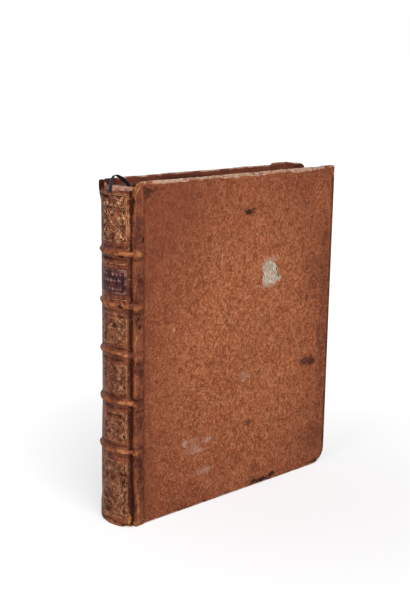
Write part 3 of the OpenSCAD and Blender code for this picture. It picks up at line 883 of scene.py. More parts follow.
def coverOutline(x, s, seed):
    # tail and head of the leather on a board, over its rounded corners
    joint = book["joint"]

    def cornerDrop(radius):
        inside = np.clip(joint + radius - x, 0, radius)
        return radius - np.sqrt(radius ** 2 - inside ** 2)

    ragged = 0.5 * rough(s, 0 * s, 4, seed, 3)
    low = cornerDrop(hide["cornerTail"]) + np.where(x < joint, 0.3 + 0.3 * ragged, 0)
    top = book["height"] - cornerDrop(hide["cornerHead"]) + np.where(x < joint + 1, ragged, 0.25 * ragged)
    return low, top


def coverHide(name, side, nodeName, seed):
    s = np.arange(grooveS, sectionS[-1], hide["coverStep"])
    x, y, nx, ny = onSection(s)
    low, top = coverOutline(x, s, seed)
    # turned in at the tail, up the board, and turned in at the head
    depth = 0.8 + 4.3 * smooth(2.4, 4.2, x)
    wraps = [1.0, 0.7, 0.35, 0.12, 0.03]
    rows = [(low + 0.02, -w * depth) for w in wraps]
    for f in np.linspace(0, 1, int(book["height"] / hide["rowStep"])):
        ease = 0.5 * np.exp(-min(f, 1 - f) * book["height"] / 0.45)
        rows.append((low + (top - low) * f, -ease * np.ones_like(s)))
    rows += [(top - 0.02, -w * depth) for w in wraps[::-1]]
    high, lift = (np.array(part) for part in zip(*rows))
    outer = np.zeros((len(rows), 1))
    outer[len(wraps):-len(wraps)] = 1
    full = np.ones_like(lift)
    across, along = x[None, :] * full, s[None, :] * full
    rise = hideBump(across, along, high, 3.0) * outer
    uneven = 0.14 * rough(along, high, 12, seed + 2, 3) + 0.07 * rough(along, high, 2.5, seed + 3, 3)
    lift = lift + rise + uneven * outer * smooth(grooveS, grooveS + 2, along)
    points = np.stack([x[None, :] + nx[None, :] * lift, -side * (y[None, :] + ny[None, :] * lift), high], 2)
    # a worn rim runs round the board's corner at the head
    rimX, rimZ, rimR = hide["rimAt"]
    fromRim = np.hypot(np.minimum(across - rimX, 0), np.maximum(high - rimZ, 0)) - rimR
    arc = (0.75 + 0.5 * rough(along, high, 4, seed + 11, 3)) * np.exp(-(fromRim / 0.8) ** 2)
    beyond = smooth(0, 1.5, fromRim) * (0.45 + 0.5 * rough(along, high, 5, seed + 12, 3))
    wear = np.maximum.reduce([
        hideWear(across, along, high, rise, top[None, :], low[None, :], seed),
        spotMask(across, high, hide["coverWear"], seed + 7),
        smooth(rimZ - 4, rimZ + 2, high) * np.maximum(arc, beyond)])
    dark = np.maximum(hideDirtAndShade(across, along, high, rise, seed + 1),
                      spotMask(across, high, hide["coverDark"], seed + 9))
    # the turned-in rows get painted shade where the leather goes under the board
    masks = {"wear": wear * (0.15 + 0.85 * outer), "dark": np.maximum(dark, 0.7 * (1 - outer)),
             "pale": 0 * full}
    ends = stripEnds(*lift.shape)
    faces = gridFaces(*lift.shape, True, side > 0) + (ends if side < 0 else [e[::-1] for e in ends])
    obj = makePiece(name, points.reshape(-1, 3), faces, leather, masks)
    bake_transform(obj)
    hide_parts(nodeName)


spineLeather = spineHide()
coverHide("frontLeather", -1, "front_leather", 40.0)
coverHide("backLeather", 1, "back_leather", 60.0)
print("leather ready")


# label of dark leather on the spine

label = {"low": 213.8, "high": 236.6, "half": 20.1, "thick": 0.42, "columns": 81, "rows": 47}


def closeSheet(top, under, faces, flip):
    # two skins joined along every open edge
    count = len(top)
    upper = faces[:, ::-1] if flip else faces
    seen = {(a, b): True for f in upper.tolist() for a, b in zip(f, f[1:] + f[:1])}
    sides = [[b, a, a + count, b + count] for a, b in seen if (b, a) not in seen]
    return np.vstack([top, under]), upper.tolist() + (upper[:, ::-1] + count).tolist() + sides


def labelPiece():
    u = np.linspace(-label["half"], label["half"], label["columns"])[None, :]
    z = np.linspace(label["low"], label["high"], label["rows"])[:, None]
    edge = np.minimum(label["half"] - np.abs(u), np.minimum(z - label["low"], label["high"] - z))
    lift = label["thick"] * (0.45 + 0.55 * smooth(0, 0.9, edge)) + 0.04 * rough(u, z, 4, 53, 3) + 0.06
    turn = -(u / book["hideR"]) * np.ones_like(lift)
    high = z + np.where(edge < 0.01, 0.16 * rough(u, z, 3, 51, 3), 0)
    skins = []
    for away in (lift, -0.05):
        radius = book["hideR"] + away - flatterBack(u, z)
        skin = np.stack([book["backX"] - radius * np.cos(turn), radius * np.sin(turn), high], 2)
        skins.append(skin.reshape(-1, 3))
    verts, faces = closeSheet(*skins, np.array(gridFaces(z.size, u.size, flip=True)), False)
    wear = 0.5 * np.exp(-edge / 0.6) + 0.45 * smooth(0.2, 0.7, rough(u, z, 7, 55, 3))
    obj = makePiece("titleLabel", verts, faces, labelLeather, {"wear": np.tile(wear.ravel(), 2)})
    dress(obj, "block", "title_label")
    return obj


# gilt tooling: flat stamps are set on points, bent round the spine and laid on the leather

def stampTree():
    tree, inn, out = newTree("stampTree", [("Stamp", "Object"), ("Ground", "Object"), ("Axis X", "Float"),
                                           ("Round", "Float"), ("Lift", "Float"), ("Gilt", "Material")])
    stamp, ground = (addNode(tree, "GeometryNodeObjectInfo", {"Object": inn[key]})["Geometry"]
                     for key in ("Stamp", "Ground"))
    turn, size = (namedAttribute(tree, key, "FLOAT") for key in ("turn", "size"))
    spin = addNode(tree, "FunctionNodeEulerToRotation", {0: combine(tree, Z=turn)})[0]
    stamped = geo(tree, "InstanceOnPoints",
                  {"Points": inn["Geometry"], "Instance": stamp, "Rotation": spin, "Scale": size})
    real = geo(tree, "RealizeInstances", {"Geometry": stamped})
    at = addNode(tree, "ShaderNodeSeparateXYZ", {0: geo(tree, "InputPosition")})
    angle = calc(tree, "DIVIDE", at["X"], inn["Round"])
    cos, sin = calc(tree, "COSINE", angle), calc(tree, "SINE", angle)
    far = calc(tree, "ADD", inn["Round"], tooling["rayFrom"] / 1000)
    startX = calc(tree, "SUBTRACT", inn["Axis X"], calc(tree, "MULTIPLY", far, cos))
    startY = calc(tree, "MULTIPLY", calc(tree, "MULTIPLY", far, sin), -1.0)
    aim = combine(tree, X=cos, Y=sin)
    ray = addNode(tree, "GeometryNodeRaycast", {
        "Target Geometry": ground, "Source Position": combine(tree, X=startX, Y=startY, Z=at["Y"]),
        "Ray Direction": aim, "Ray Length": tooling["rayLength"] / 1000})
    raised = calc(tree, "MULTIPLY", inn["Lift"], -1.0)
    lift = addNode(tree, "ShaderNodeVectorMath", {0: aim, "Scale": raised}, operation="SCALE")[0]
    laid = addNode(tree, "ShaderNodeVectorMath", {0: ray["Hit Position"], 1: lift}, operation="ADD")[0]
    moved = geo(tree, "SetPosition", {"Geometry": real, "Position": laid})
    tree.links.new(geo(tree, "SetMaterial", {"Geometry": moved, "Material": inn["Gilt"]}), out["Geometry"])
    return tree


def flatMesh(name, shapes):
    points, faces = [], []
    for shape in shapes:
        faces.append(list(range(len(points), len(points) + len(shape))))
        points += [(u / 1000, v / 1000, 0) for u, v in shape]
    mesh = bpy.data.meshes.new(name)
    mesh.from_pydata(points, [], faces)
    return newObject(name, mesh)


def strokeShapes(line, width):
    p = np.asarray(line, float)
    d = unit(np.gradient(p, axis=0))
    side = np.stack([-d[:, 1], d[:, 0]], 1) * (np.zeros(len(p)) + width)[:, None] / 2
    near, far = p - side, p + side
    return [[tuple(q) for q in (near[k], near[k + 1], far[k + 1], far[k])] for k in range(len(p) - 1)]


def polar(r, a):
    return r * math.cos(a), r * math.sin(a)


def discShape(u, v, r, count=9):
    turns = np.linspace(0, 2 * math.pi, count, endpoint=False)
    return [(u + r * math.cos(t), v + r * math.sin(t)) for t in turns]


def leafShape(u, v, angle, length, width):
    t = np.linspace(0, 1, 6)
    out = width / 2 * np.sin(math.pi * t ** 0.8)
    line = [(length * a, b) for a, b in zip(t, out)]
    line += [(length * a, -b) for a, b in zip(t[-2:0:-1], out[-2:0:-1])]
    c, s = polar(1, angle)
    return [(u + c * a - s * b, v + s * a + c * b) for a, b in line]


def straight(a, b, width, gap=1.4):
    return strokeShapes(np.linspace(a, b, max(2, int(math.dist(a, b) / gap) + 1)), width)


def curl(u, v, r, start, sweep, width):
    t = np.radians(np.linspace(start, start + sweep, 12))
    shrink = np.linspace(1, 0.35, 12)
    line = np.stack([u + r * shrink * np.cos(t), v + r * shrink * np.sin(t)], 1)
    return strokeShapes(line, width * np.linspace(1, 0.6, 12))


def frameShapes(half, low, high, inset, width):
    left, right, down, up = -half + inset, half - inset, low + inset, high - inset
    corners = (left, down), (right, down), (left, up), (right, up)
    shapes = []
    for a, b in ((0, 1), (2, 3), (0, 2), (1, 3)):
        shapes += straight(corners[a], corners[b], width)
    return shapes


def roseStamp():
    # eight petals round a boss, four sprigs between them
    shapes = [discShape(0, 0, 0.9)]
    for k in range(8):
        a = k * math.pi / 4
        shapes.append(leafShape(*polar(1.2, a), a, 2.6 if k % 2 else 3.6, 1.25))
    for k in range(4):
        a = math.pi / 4 + k * math.pi / 2
        shapes += straight(polar(3.6, a), polar(6.2, a), 0.42)
        shapes += [leafShape(*polar(4.4, a), a + d, 2.3, 0.95) for d in (-0.75, 0.75)]
        shapes += [leafShape(*polar(5.8, a), a, 2.4, 1.1), discShape(*polar(5.4, a + math.pi / 4), 0.55)]
    return shapes


def sprayStamp():
    # a corner spray that grows along +u and +v
    shapes = []
    t = np.linspace(0, 1, 12)
    stem = np.stack([1 + 8.4 * t, 1 + 2.6 * np.sin(math.pi * t) ** 1.2], 1)
    for line, tip, turned, start, sweep in ((stem, (0, 0.9), 0, -90, 290),
                                            (stem[:, ::-1], (0.9, 0), math.pi / 2, 180, -290)):
        shapes += strokeShapes(line, 0.45)
        for k, size in ((3, 2.0), (6, 2.2), (9, 1.8)):
            shapes.append(leafShape(*line[k], (0.9 if k % 2 else -0.7) + turned, size, 0.95))
        shapes += curl(*(line[-1] + tip), 0.95, start, sweep, 0.42)
    shapes += straight((1, 1), (5.6, 5.6), 0.42)
    shapes += [leafShape(5.2, 5.2, math.pi / 4 + d, 2.5, 1.05) for d in (-0.8, 0, 0.8)]
    for u, v, r in ((1.2, 1.2, 0.75), (3.4, 6.9, 0.4), (6.9, 3.4, 0.4), (3.0, 4.4, 0.35), (4.4, 3.0, 0.35)):
        shapes.append(discShape(u, v, r))
    return shapes


def curlStamp():
    leaf, dot = leafShape(1.1, -0.2, -1.0, 1.5, 0.7), discShape(-0.9, -1.1, 0.36, 7)
    return curl(0.2, 0, 1.25, 0, 300, 0.46) + [leaf, dot]


def starStamp():
    turns = np.arange(4) * math.pi / 2
    return [discShape(0, 0, 0.38, 7)] + [leafShape(*polar(0.3, a), a, 0.95, 0.42) for a in turns]


def sprigStamp():
    shapes = [leafShape(0, -2.2, math.pi / 2, 4.4, 0.8)]
    shapes += [leafShape(0, v, math.pi / 2 + d, 2.0, 0.75) for v in (-1.3, 0.1) for d in (-0.9, 0.9)]
    return shapes + [discShape(0, 2.6, 0.42)]


def lineStamp():
    half, width = tooling["half"], tooling["line"]
    shapes = []
    for low, high in tooling["frames"]:
        shapes += frameShapes(half, low, high, 0, width * 1.25)
        shapes += frameShapes(half, low, high, tooling["gap"], width * 0.8)
    for z in tooling["besideLabel"]:
        shapes += straight((-half, z), (half, z), width)
    return shapes


def borderStamp():
    return [shape for inset, width in ((1.0, 0.62), (2.2, 0.4))
            for shape in frameShapes(label["half"], label["low"], label["high"], inset, width)]


def panelSpots(low, high, spots):
    # places of the stamps in one panel: u, v, turn, size
    middle, tall, gap, fill = (low + high) / 2, high - low, tooling["gap"] + 0.4, tooling["filling"]
    inner = tooling["half"] - gap
    corners = ((-1, -1, 0), (1, -1, 90), (1, 1, 180), (-1, 1, 270))
    spots["rose"].append((0, middle, 0, 1.12 if tall > 32 else 0.86))
    for side, up, turn in corners:
        corner = high - gap if up > 0 else low + gap
        spots["spray"].append((side * inner, corner, math.radians(turn), min(1.0, tall / 34)))
    for side in (-1, 1):
        for u, offsets in ((9.4, (-3.2, 3.2)), (15.6, (-2.4, 0, 2.4))):
            spots["star"] += [(side * u, middle + d, 0, 1.0) for d in offsets]
        spots["sprig"] += [(side * 12.4, middle, -side * math.pi / 2, 0.9), (side * 17, middle, 0, 0.8)]
    for j, v in enumerate(np.arange(low + 3.4, high - 3, fill)):
        for i, u in enumerate(np.arange(-16.6, 17, fill * 1.06)):
            u += 0.5 * fill * (j % 2)
            offRose = math.hypot(u, v - middle) > 5.6
            offCorner = math.hypot(abs(u) - 17, min(v - low, high - v) - 3) > 4.2
            if abs(u) < 17 and offRose and offCorner:
                turn, size = 6.28 * float(lattice(i, j, low)), 0.72 + 0.3 * float(lattice(j, i, low))
                spots["curl"].append((u, v, turn, size))
    if tall > 36:
        # the long panels at head and tail have more above and below the rose
        for d in (-1, 1):
            reach = tall / 2 - 8.5
            spots["sprig"].append((0, middle + d * reach, 0 if d > 0 else math.pi, 1.15))
            spots["sprig"] += [(u, middle + d * (reach - 1), -math.copysign(0.5, u) * d, 0.9)
                               for u in (5, -5)]
            spots["star"] += [(side * u, middle + d * (tall / 4), 0, 1.1)
                              for side in (-1, 1) for u in (4.4, 8.8, 13.2, 17)]
    if tall > 45:
        spots["spray"] += [(side * 16.8, middle - up * 2, math.radians(turn), 0.85)
                           for side, up, turn in corners]


def labelSpots(spots):
    # rows of plain stamps, which spell nothing
    for k, v in enumerate(tooling["labelRows"]):
        for u in np.arange(-14, 14.1, 4) + (2 if k == 1 else 0):
            if u < 15:
                spots["labelSprig"].append((u, v, 0, 0.66 if k == 2 else 0.86))
            if u < 13:
                spots["labelStar"].append((u + 2, v, 0, 0.6))


def tool(name, tree, stamp, spots, ground):
    mesh = bpy.data.meshes.new(name)
    mesh.from_pydata([(spot[0] / 1000, spot[1] / 1000, 0) for spot in spots], [], [])
    for k, key in ((2, "turn"), (3, "size")):
        layer = mesh.attributes.new(key, "FLOAT", "POINT")
        layer.data.foreach_set("value", [float(spot[k]) for spot in spots])
    obj = newObject(name, mesh)
    onSpine = ground is spineLeather
    axisX = float(toFrame((book["backX"], 0, 0))[0])
    applyTree(obj, tree, {"Stamp": stamp, "Ground": ground, "Axis X": axisX, "Round": book["hideR"] / 1000,
                          "Lift": tooling["lift"] / 1000, "Gilt": gilt if onSpine else faintGilt})
    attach(obj, "block")


def toolSpine():
    tree = stampTree()
    stamps = {"rose": roseStamp(), "spray": sprayStamp(), "star": starStamp(), "sprig": sprigStamp(),
              "curl": curlStamp(), "line": lineStamp(), "border": borderStamp()}
    stamps = {key: flatMesh(key + "Stamp", shapes) for key, shapes in stamps.items()}
    spots = {key: [] for key in ("rose", "spray", "star", "sprig", "curl", "labelSprig", "labelStar")}
    spots["line"] = spots["border"] = [(0, 0, 0, 1)]
    for low, high in tooling["frames"]:
        panelSpots(low, high, spots)
    labelSpots(spots)
    for name, stamp in (("giltRoses", "rose"), ("giltSprays", "spray"), ("giltStars", "star"),
                        ("giltCurls", "curl"), ("giltSprigs", "sprig"), ("giltLines", "line")):
        tool(name, tree, stamps[stamp], spots[stamp], spineLeather)
    for name, stamp, at in (("labelBorder", "border", "border"), ("labelSprigs", "sprig", "labelSprig"),
                            ("labelStars", "star", "labelStar")):
        tool(name, tree, stamps[stamp], spots[at], titleLabel)
    for stamp in stamps.values():
        bpy.data.objects.remove(stamp)


titleLabel = labelPiece()
toolSpine()
print("label and tooling ready")


# boards and their paper: a flat sheet is laid over a board with rounded edges

# outline, faces and edge of a board, then its four corner radii
frontPanel = {
    "x0": book["joint"], "x1": 256.6, "z0": 0.4, "z1": 310.4, "out": book["boardOut"], "inn": book["boardIn"],
    "edge": 0.9, "side": -1,
    "headFore": 2.4, "tailFore": 16.6, "headBack": 8.0, "tailBack": 6.0, "raggedHead": 0.2,
}
backPanel = dict(frontPanel, side=1, z1=309.6, tailFore=2.4, headFore=8.0, raggedHead=-0.25)


def edgeDistance(p, q, panel):
    # distance outside the board's outline, with its nearest outward direction
    midX, midZ = (panel["x0"] + panel["x1"]) / 2, (panel["z0"] + panel["z1"]) / 2
    sx, sz = np.sign(p - midX), np.sign(q - midZ)
    radius = np.where(sx > 0, np.where(sz > 0, panel["headFore"], panel["tailFore"]),
                      np.where(sz > 0, panel["headBack"], panel["tailBack"]))
    ax = np.abs(p - midX) - (panel["x1"] - panel["x0"]) / 2 + radius
    az = np.abs(q - midZ) - (panel["z1"] - panel["z0"]) / 2 + radius
    both = (ax > 0) & (az > 0)
    long = np.hypot(np.maximum(ax, 1e-9), np.maximum(az, 1e-9))
    distance = np.where(both, long, np.maximum(ax, az)) - radius
    nx = np.where(both, ax / long, (ax >= az).astype(float)) * sx
    nz = np.where(both, az / long, (ax < az).astype(float)) * sz
    return distance, nx, nz, np.where(both, radius, 99.0)


def overBoard(p, q, lift, panel):
    # over the rounded edge, down the board's side, round again and onto its inner face
    distance, nx, nz, corner = edgeDistance(p, q, panel)
    r = panel["edge"]
    e = distance + r
    quarter, sideLength = r * math.pi / 2, panel["out"] - panel["inn"] - 2 * r
    first = np.clip(e, 0, quarter) / r
    down = np.clip(e - quarter, 0, sideLength)
    second = np.clip(e - quarter - sideLength, 0, quarter) / r
    back = np.clip(e - 2 * quarter - sideLength, 0, None)
    back = np.minimum(back, np.maximum(corner - r - 0.2, 0.05))
    turn = first + second
    out = r * np.sin(turn) - back + np.sin(turn) * lift - np.maximum(e, 0)
    y = panel["out"] - r * (1 - np.cos(first)) - down + r * np.cos(math.pi / 2 + second) + np.cos(turn) * lift
    return np.stack([p + nx * out, panel["side"] * y, q + nz * out], -1)


def resample(polygon, gap):
    p = np.asarray(polygon, float)
    closed = np.vstack([p, p[:1]])
    s = lengthAlong(closed)
    at = np.linspace(0, s[-1], max(8, int(s[-1] / gap)), endpoint=False)
    return np.stack([np.interp(at, s, closed[:, 0]), np.interp(at, s, closed[:, 1])], 1)


def panelRing(panel, offset, gap):
    out = []
    for key, sx, sz, start in (("tailBack", 0, 0, 180), ("tailFore", 1, 0, 270),
                               ("headFore", 1, 1, 0), ("headBack", 0, 1, 90)):
        r = panel[key]
        cx = panel["x1"] - r if sx else panel["x0"] + r
        cz = panel["z1"] - r if sz else panel["z0"] + r
        turn = np.radians(np.linspace(start, start + 90, 25))
        reach = max(r + offset, 0.05)
        out.append(np.stack([cx + reach * np.cos(turn), cz + reach * np.sin(turn)], 1))
    return resample(np.vstack(out), gap)


def gridPoints(x0, x1, z0, z1, gapX, gapZ):
    x, z = np.meshgrid(np.arange(x0, x1, gapX), np.arange(z0, z1, gapZ))
    return np.stack([x.ravel(), z.ravel()], 1)


def insidePolygon(points, polygon):
    x, z = points[:, 0], points[:, 1]
    inside = np.zeros(len(points), bool)
    for (ax, az), (bx, bz) in zip(polygon, np.roll(polygon, -1, 0)):
        if az != bz:
            inside ^= ((az > z) != (bz > z)) & (x < (bx - ax) * (z - az) / (bz - az) + ax)
    return inside


def nearest(points, others):
    best = np.full(len(points), 1e9)
    for k in range(0, len(others), 200):
        part = others[k:k + 200]
        best = np.minimum(best, np.sqrt(((points[:, None, :] - part[None]) ** 2).sum(2)).min(1))
    return best


def triangulate(outline, holes, inner):
    def onSheet(points):
        keep = insidePolygon(points, outline)
        for hole in holes:
            keep &= ~insidePolygon(points, hole)
        return keep

    rings = [outline] + holes
    border = np.vstack(rings)
    inner = inner[onSheet(inner)]
    inner = inner[nearest(inner, border) > 0.45]
    edges, start = [], 0
    for ring in rings:
        edges += [(start + k, start + (k + 1) % len(ring)) for k in range(len(ring))]
        start += len(ring)
    made = delaunay_2d_cdt([Vector(p) for p in np.vstack([border, inner]).tolist()], edges, [], 0, 1e-6)
    points = np.array([tuple(v) for v in made[0]])
    faces = np.array(made[2])
    faces = faces[onSheet(points[faces].mean(1))]
    a, b, c = (points[faces[:, k]] for k in range(3))
    area = (b[:, 0] - a[:, 0]) * (c[:, 1] - a[:, 1]) - (b[:, 1] - a[:, 1]) * (c[:, 0] - a[:, 0])
    faces[area < 0] = faces[area < 0][:, ::-1]
    return points, faces


# the place on the front where the paper is gone, and a slit in the board there
lost = {
    "middle": (170, 213), "reach": 24, "ragged": 0.55,
    "outline": [
        (160.5, 222.5), (164.5, 225.0), (171.0, 224.0), (175.5, 221.5), (179.0, 217.0), (181.0, 209.5),
        (184.5, 207.5), (182.0, 203.5), (178.5, 204.5), (175.0, 201.5), (169.5, 203.0), (164.5, 201.0),
        (159.0, 203.0), (158.5, 209.0), (160.5, 213.0), (158.5, 218.0),
    ],
    # x and z of its middle, half length, lean
    "slit": (177.1, 212.5, 4.75, 4.5),
}


def lostPatch():
    ring = resample(lost["outline"], 0.8)
    return ring + lost["ragged"] * np.stack([rough(ring[:, 0], ring[:, 1], 3.5, k, 3) for k in (61, 62)], 1)


# points are closer together at the head, in the lost patch and along the edges
board = {
    "gap": 5.0, "head": 9.0, "headGap": (1.3, 0.9), "patchBox": (157, 186, 199.5, 227), "patchGap": 0.8,
    "rings": (-1.6, -0.9, -0.5, -0.1, 0.3, 0.7, 1.2), "outline": 2.0, "ringGap": 1.6, "underSize": 0.997,
}


def boardPiece(name, panel, body, nodeName, seed):
    x0, x1, z0, z1 = (panel[key] for key in ("x0", "x1", "z0", "z1"))
    headLow = z1 - board["head"]
    grids = ((x0, x1, z0, z1, board["gap"], board["gap"]), (x0, x1, headLow, z1 + 2, *board["headGap"]),
             (*board["patchBox"], board["patchGap"], board["patchGap"]))
    inner = [gridPoints(*grid) + 0.01 for grid in grids]
    inner += [panelRing(panel, offset, board["ringGap"]) for offset in board["rings"]]
    points, faces = triangulate(panelRing(panel, board["outline"], board["ringGap"]), [], np.vstack(inner))
    p, q = points.T
    worn = smooth(headLow, z1 - 3, q)
    top = overBoard(p, q, worn * (0.22 * rough(p, q, 3.0, seed, 3) - 0.12), panel)
    top[:, 2] += worn * (0.55 * rough(p, 0 * p, 9, seed + 4, 3) + panel["raggedHead"])
    middle = np.array([(x0 + x1) / 2, 0, (z0 + z1) / 2])
    under = middle + (overBoard(p, q, 0 * p, panel) - middle) * (board["underSize"], 1, board["underSize"])
    under[:, 1] = panel["side"] * (panel["inn"] + 0.02)
    midX, midZ = lost["middle"]
    patch = smooth(lost["reach"], lost["reach"] - 4, np.hypot(p - midX, q - midZ)) * (panel["side"] < 0)
    slitX, slitZ, slitHalf, slitLean = lost["slit"]
    along = np.clip((slitZ + slitHalf + 0.05 - q) / (2 * slitHalf), 0, 1)
    aside = p - slitX - slitLean * along + 0.5 * np.sin(along * 9)
    slit = smooth(1.1, 0.35, np.hypot(aside, np.maximum(np.abs(q - slitZ) - slitHalf, 0))) * patch
    verts, faces = closeSheet(top, under, faces, panel["side"] > 0)
    obj = makePiece(name, verts, faces, pasteboard, {"patch": np.tile(patch, 2), "slit": np.tile(slit, 2)})
    dress(obj, body, nodeName)


paper = {
    "turnIn": 4.4, "gap": 2.6, "uneven": 0.35, "outlineGap": 0.9, "ringGap": 1.5, "tornRings": (0.5, 1.2),
    # rings of points along the board's edge, by their distance outside it
    "rings": (-2.6, -1.7, -0.95, -0.55, -0.2, 0.15, 0.5, 1.2, 2.2, 2.9, 3.3, 3.7, 4.4),
    "frontTear": {"from": 30.0, "to": 238.0, "drop": 2.5, "rough": 2.5},
    # the back paper's head isn't torn, so its tear lies past the fore edge
    "backTear": {"from": 900.0, "to": 901.0, "drop": 1.0, "rough": 1.0},
}


def paperOutline(panel, wrap, seed, headTear):
    # the head is worn off between two places, and ends in a torn line there
    x0, z0, z1 = book["stripEnd"], panel["z0"], panel["z1"]
    ring = panelRing(panel, wrap, paper["outlineGap"])
    ring = ring[ring[:, 0] > x0 + 0.4]
    along = ring[:, 0]
    start, end = headTear["from"], headTear["to"]
    gone = smooth(start, start + 5, along) * smooth(end + 6, end, along)
    gone = np.where(ring[:, 1] > z1, gone, 0)
    tear = headTear["drop"] + headTear["rough"] * rough(along, 0 * along, 11, seed, 4)
    ring[:, 1] = np.where(gone > 0.5, z1 - np.maximum(tear * gone, 0.7), ring[:, 1])
    lap = np.arange(z0 - wrap, ring[-1, 1], 1.5)[::-1]
    lapEdge = np.stack([x0 + 0.25 * rough(lap, 0 * lap, 9, seed + 1, 3), lap], 1)
    return resample(np.vstack([ring, lapEdge]), paper["outlineGap"]), ring[gone > 0.5]


def paperMasks(p, q, distance, tornAt, panel, seed):
    # pale rubbed edges with a painted highlight along the back board's head, torn edges, darker places along
    # the lap and edges, a painted shadow at the back board's head, the red edge that is partly painted shade,
    # and painted shade towards the borders
    x0, x1, z1, isFront = book["stripEnd"], panel["x1"], panel["z1"], panel["side"] < 0

    def cloudy(base, amount, size, shift):
        return base + amount * rough(p, q, size, seed + shift, 3)

    atHead = smooth(z1 - 1, z1, q)
    foreDark = smooth(-4.0, -2.2, distance) * smooth(x1 - 7, x1 - 3, p) * smooth(304, 297, q)
    foreDark = foreDark * cloudy(0.85, 0.5, 9, 20)
    paleEdge = smooth(-2.2, -0.9, distance) * smooth(2.4, 0.8, distance) * cloudy(0.58, 0.75, 7, 5)
    paleEdge = paleEdge * (1 - np.clip(1.6 * foreDark, 0, 1))
    corner = smooth(-3.2, -1.6, distance) * smooth(244, 251, p) * smooth(295, 302, q)
    corner = corner * cloudy(0.75, 0.6, 6, 18)
    # painted highlight: a pale line along the head edge of the back board
    paintedHeadHighlight = smooth(-0.4, 0.4, distance) * smooth(4.5, 3.5, distance) * atHead * cloudy(0.66, 0.7, 9, 19)
    scuff = smooth(40, 30, p) * smooth(z1 - 4, z1 - 1.8, q) * cloudy(0.66, 0.6, 5, 17) * isFront
    lapDark = 0.8 * smooth(x0 + 0.9, x0 + 0.1, p)
    rimDark = 0.45 * smooth(-12, -0.5, distance) * smooth(0.1, 0.7, cloudy(0, 1, 14, 9))
    chunk = 0.75 * smooth(236, 248, p) * smooth(2.2, 3.4, distance) * atHead * (not isFront)
    shadow = 1.2 * smooth(58, 72, p) * smooth(134, 112, p) * smooth(4.6, 6.0, distance)
    shadow = shadow * atHead * (not isFront)
    # painted shade: the sheet darkens towards its edges and most at the top left, as the light falls off
    # there, and also near the lap
    paintedShade = smooth(0.25, 1.25, np.hypot((p - 145) / 135, (q - 140) / 175)) * cloudy(0.75, 0.35, 40, 13)
    paintedShade = np.maximum(paintedShade, smooth(50, 14, p) * cloudy(0.8, 0.3, 22, 16))
    paintedShade = paintedShade + 0.55 * smooth(100, 20, p) * smooth(190, 280, q)
    return {
        "torn": np.clip(np.maximum(np.exp(-(tornAt / 0.55) ** 2), scuff), 0, 1),
        "dark": np.clip(np.maximum.reduce([lapDark, rimDark, foreDark, chunk, shadow]), 0, 1),
        "paleEdge": np.clip(np.maximum(paleEdge, corner if isFront else paintedHeadHighlight), 0, 1),
        # the board's edge and turn-in: partly a darker colour, partly painted shade
        "red": smooth(1.6, 3.6, distance) * cloudy(0.8, 0.3, 9, 12),
        "paintedShade": np.clip(paintedShade, 0, 1), "front": 0 * p + isFront,
    }


def paperPiece(name, panel, body, nodeName, seed, headTear, holes):
    z0, z1, isBack = panel["z0"], panel["z1"], panel["side"] > 0
    wrap = panel["edge"] * (math.pi - 3) + panel["out"] - panel["inn"] + paper["turnIn"]
    outline, tornLine = paperOutline(panel, wrap, seed, headTear)
    gap = paper["gap"]
    coarse = gridPoints(book["stripEnd"], panel["x1"] + wrap, z0 - wrap, z1 + wrap, gap, gap)
    coarse = coarse + paper["uneven"] * np.stack([noise(*coarse.T, 1.7, seed + k) for k in (7, 8)], 1)
    near = edgeDistance(*coarse.T, panel)[0]
    inner = [coarse[(near < -3.2) | ((near > 5.6) & (near < wrap))]]
    inner += [panelRing(panel, offset, paper["ringGap"]) for offset in paper["rings"]]
    for d in paper["tornRings"]:
        inner += [tornLine - (0, d)] + [hole + d * unit(hole - hole.mean(0)) for hole in holes]
    points, faces = triangulate(outline, holes, np.vstack(inner))
    p, q = points.T
    torn = np.vstack([tornLine] + holes)
    tornAt = nearest(points, torn) if len(torn) else 9 + 0 * p
    lifted = 0.12 * np.exp(-tornAt / 0.7) * (0.6 + rough(p, q, 5, seed + 3, 2))
    top = overBoard(p, q, book["paper"] + 0.05 * rough(p, q, 30, seed + 2, 2) + lifted, panel)
    under = overBoard(p, q, 0.03 + 0.5 * lifted, panel)
    if isBack:
        # the paper of the back board has come up along its head
        loose = smooth(z1 - 1.5, z1 + 0.6, q) * smooth(z1 + 6.5, z1 + 3, q)
        bumps = 0.35 + 0.55 * rough(p, 0 * p, 16, seed + 15, 4)
        bumps = bumps + 1.9 * smooth(208, 212, p) - 2.2 * smooth(224, 252, p)
        for skin in (top, under):
            skin[:, 2] += loose * np.maximum(bumps, 0)
    verts, faces = closeSheet(top, under, faces, isBack)
    masks = paperMasks(p, q, edgeDistance(p, q, panel)[0], tornAt, panel, seed)
    obj = makePiece(name, verts, faces, sidePaper, {key: np.tile(mask, 2) for key, mask in masks.items()})
    dress(obj, body, nodeName)


boardPiece("frontBoard", frontPanel, "front_cover", "front_board", 81.0)
boardPiece("backBoard", backPanel, "back_cover", "back_board", 91.0)
paperPiece("frontPaper", frontPanel, "front_cover", "front_side_paper", 101.0,
           paper["frontTear"], [lostPatch()])
paperPiece("backPaper", backPanel, "back_cover", "back_side_paper", 121.0, paper["backTear"], [])
print("boards and papers ready")

plainNodes = {"front_pastedown": agedPaper, "back_pastedown": agedPaper}
plainNodes.update({"sewing_cord_%d" % k: hemp for k in range(1, 6)})
for name, material in plainNodes.items():
    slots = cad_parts[name].data.materials
    slots.clear()
    slots.append(material)


# camera, light and floor

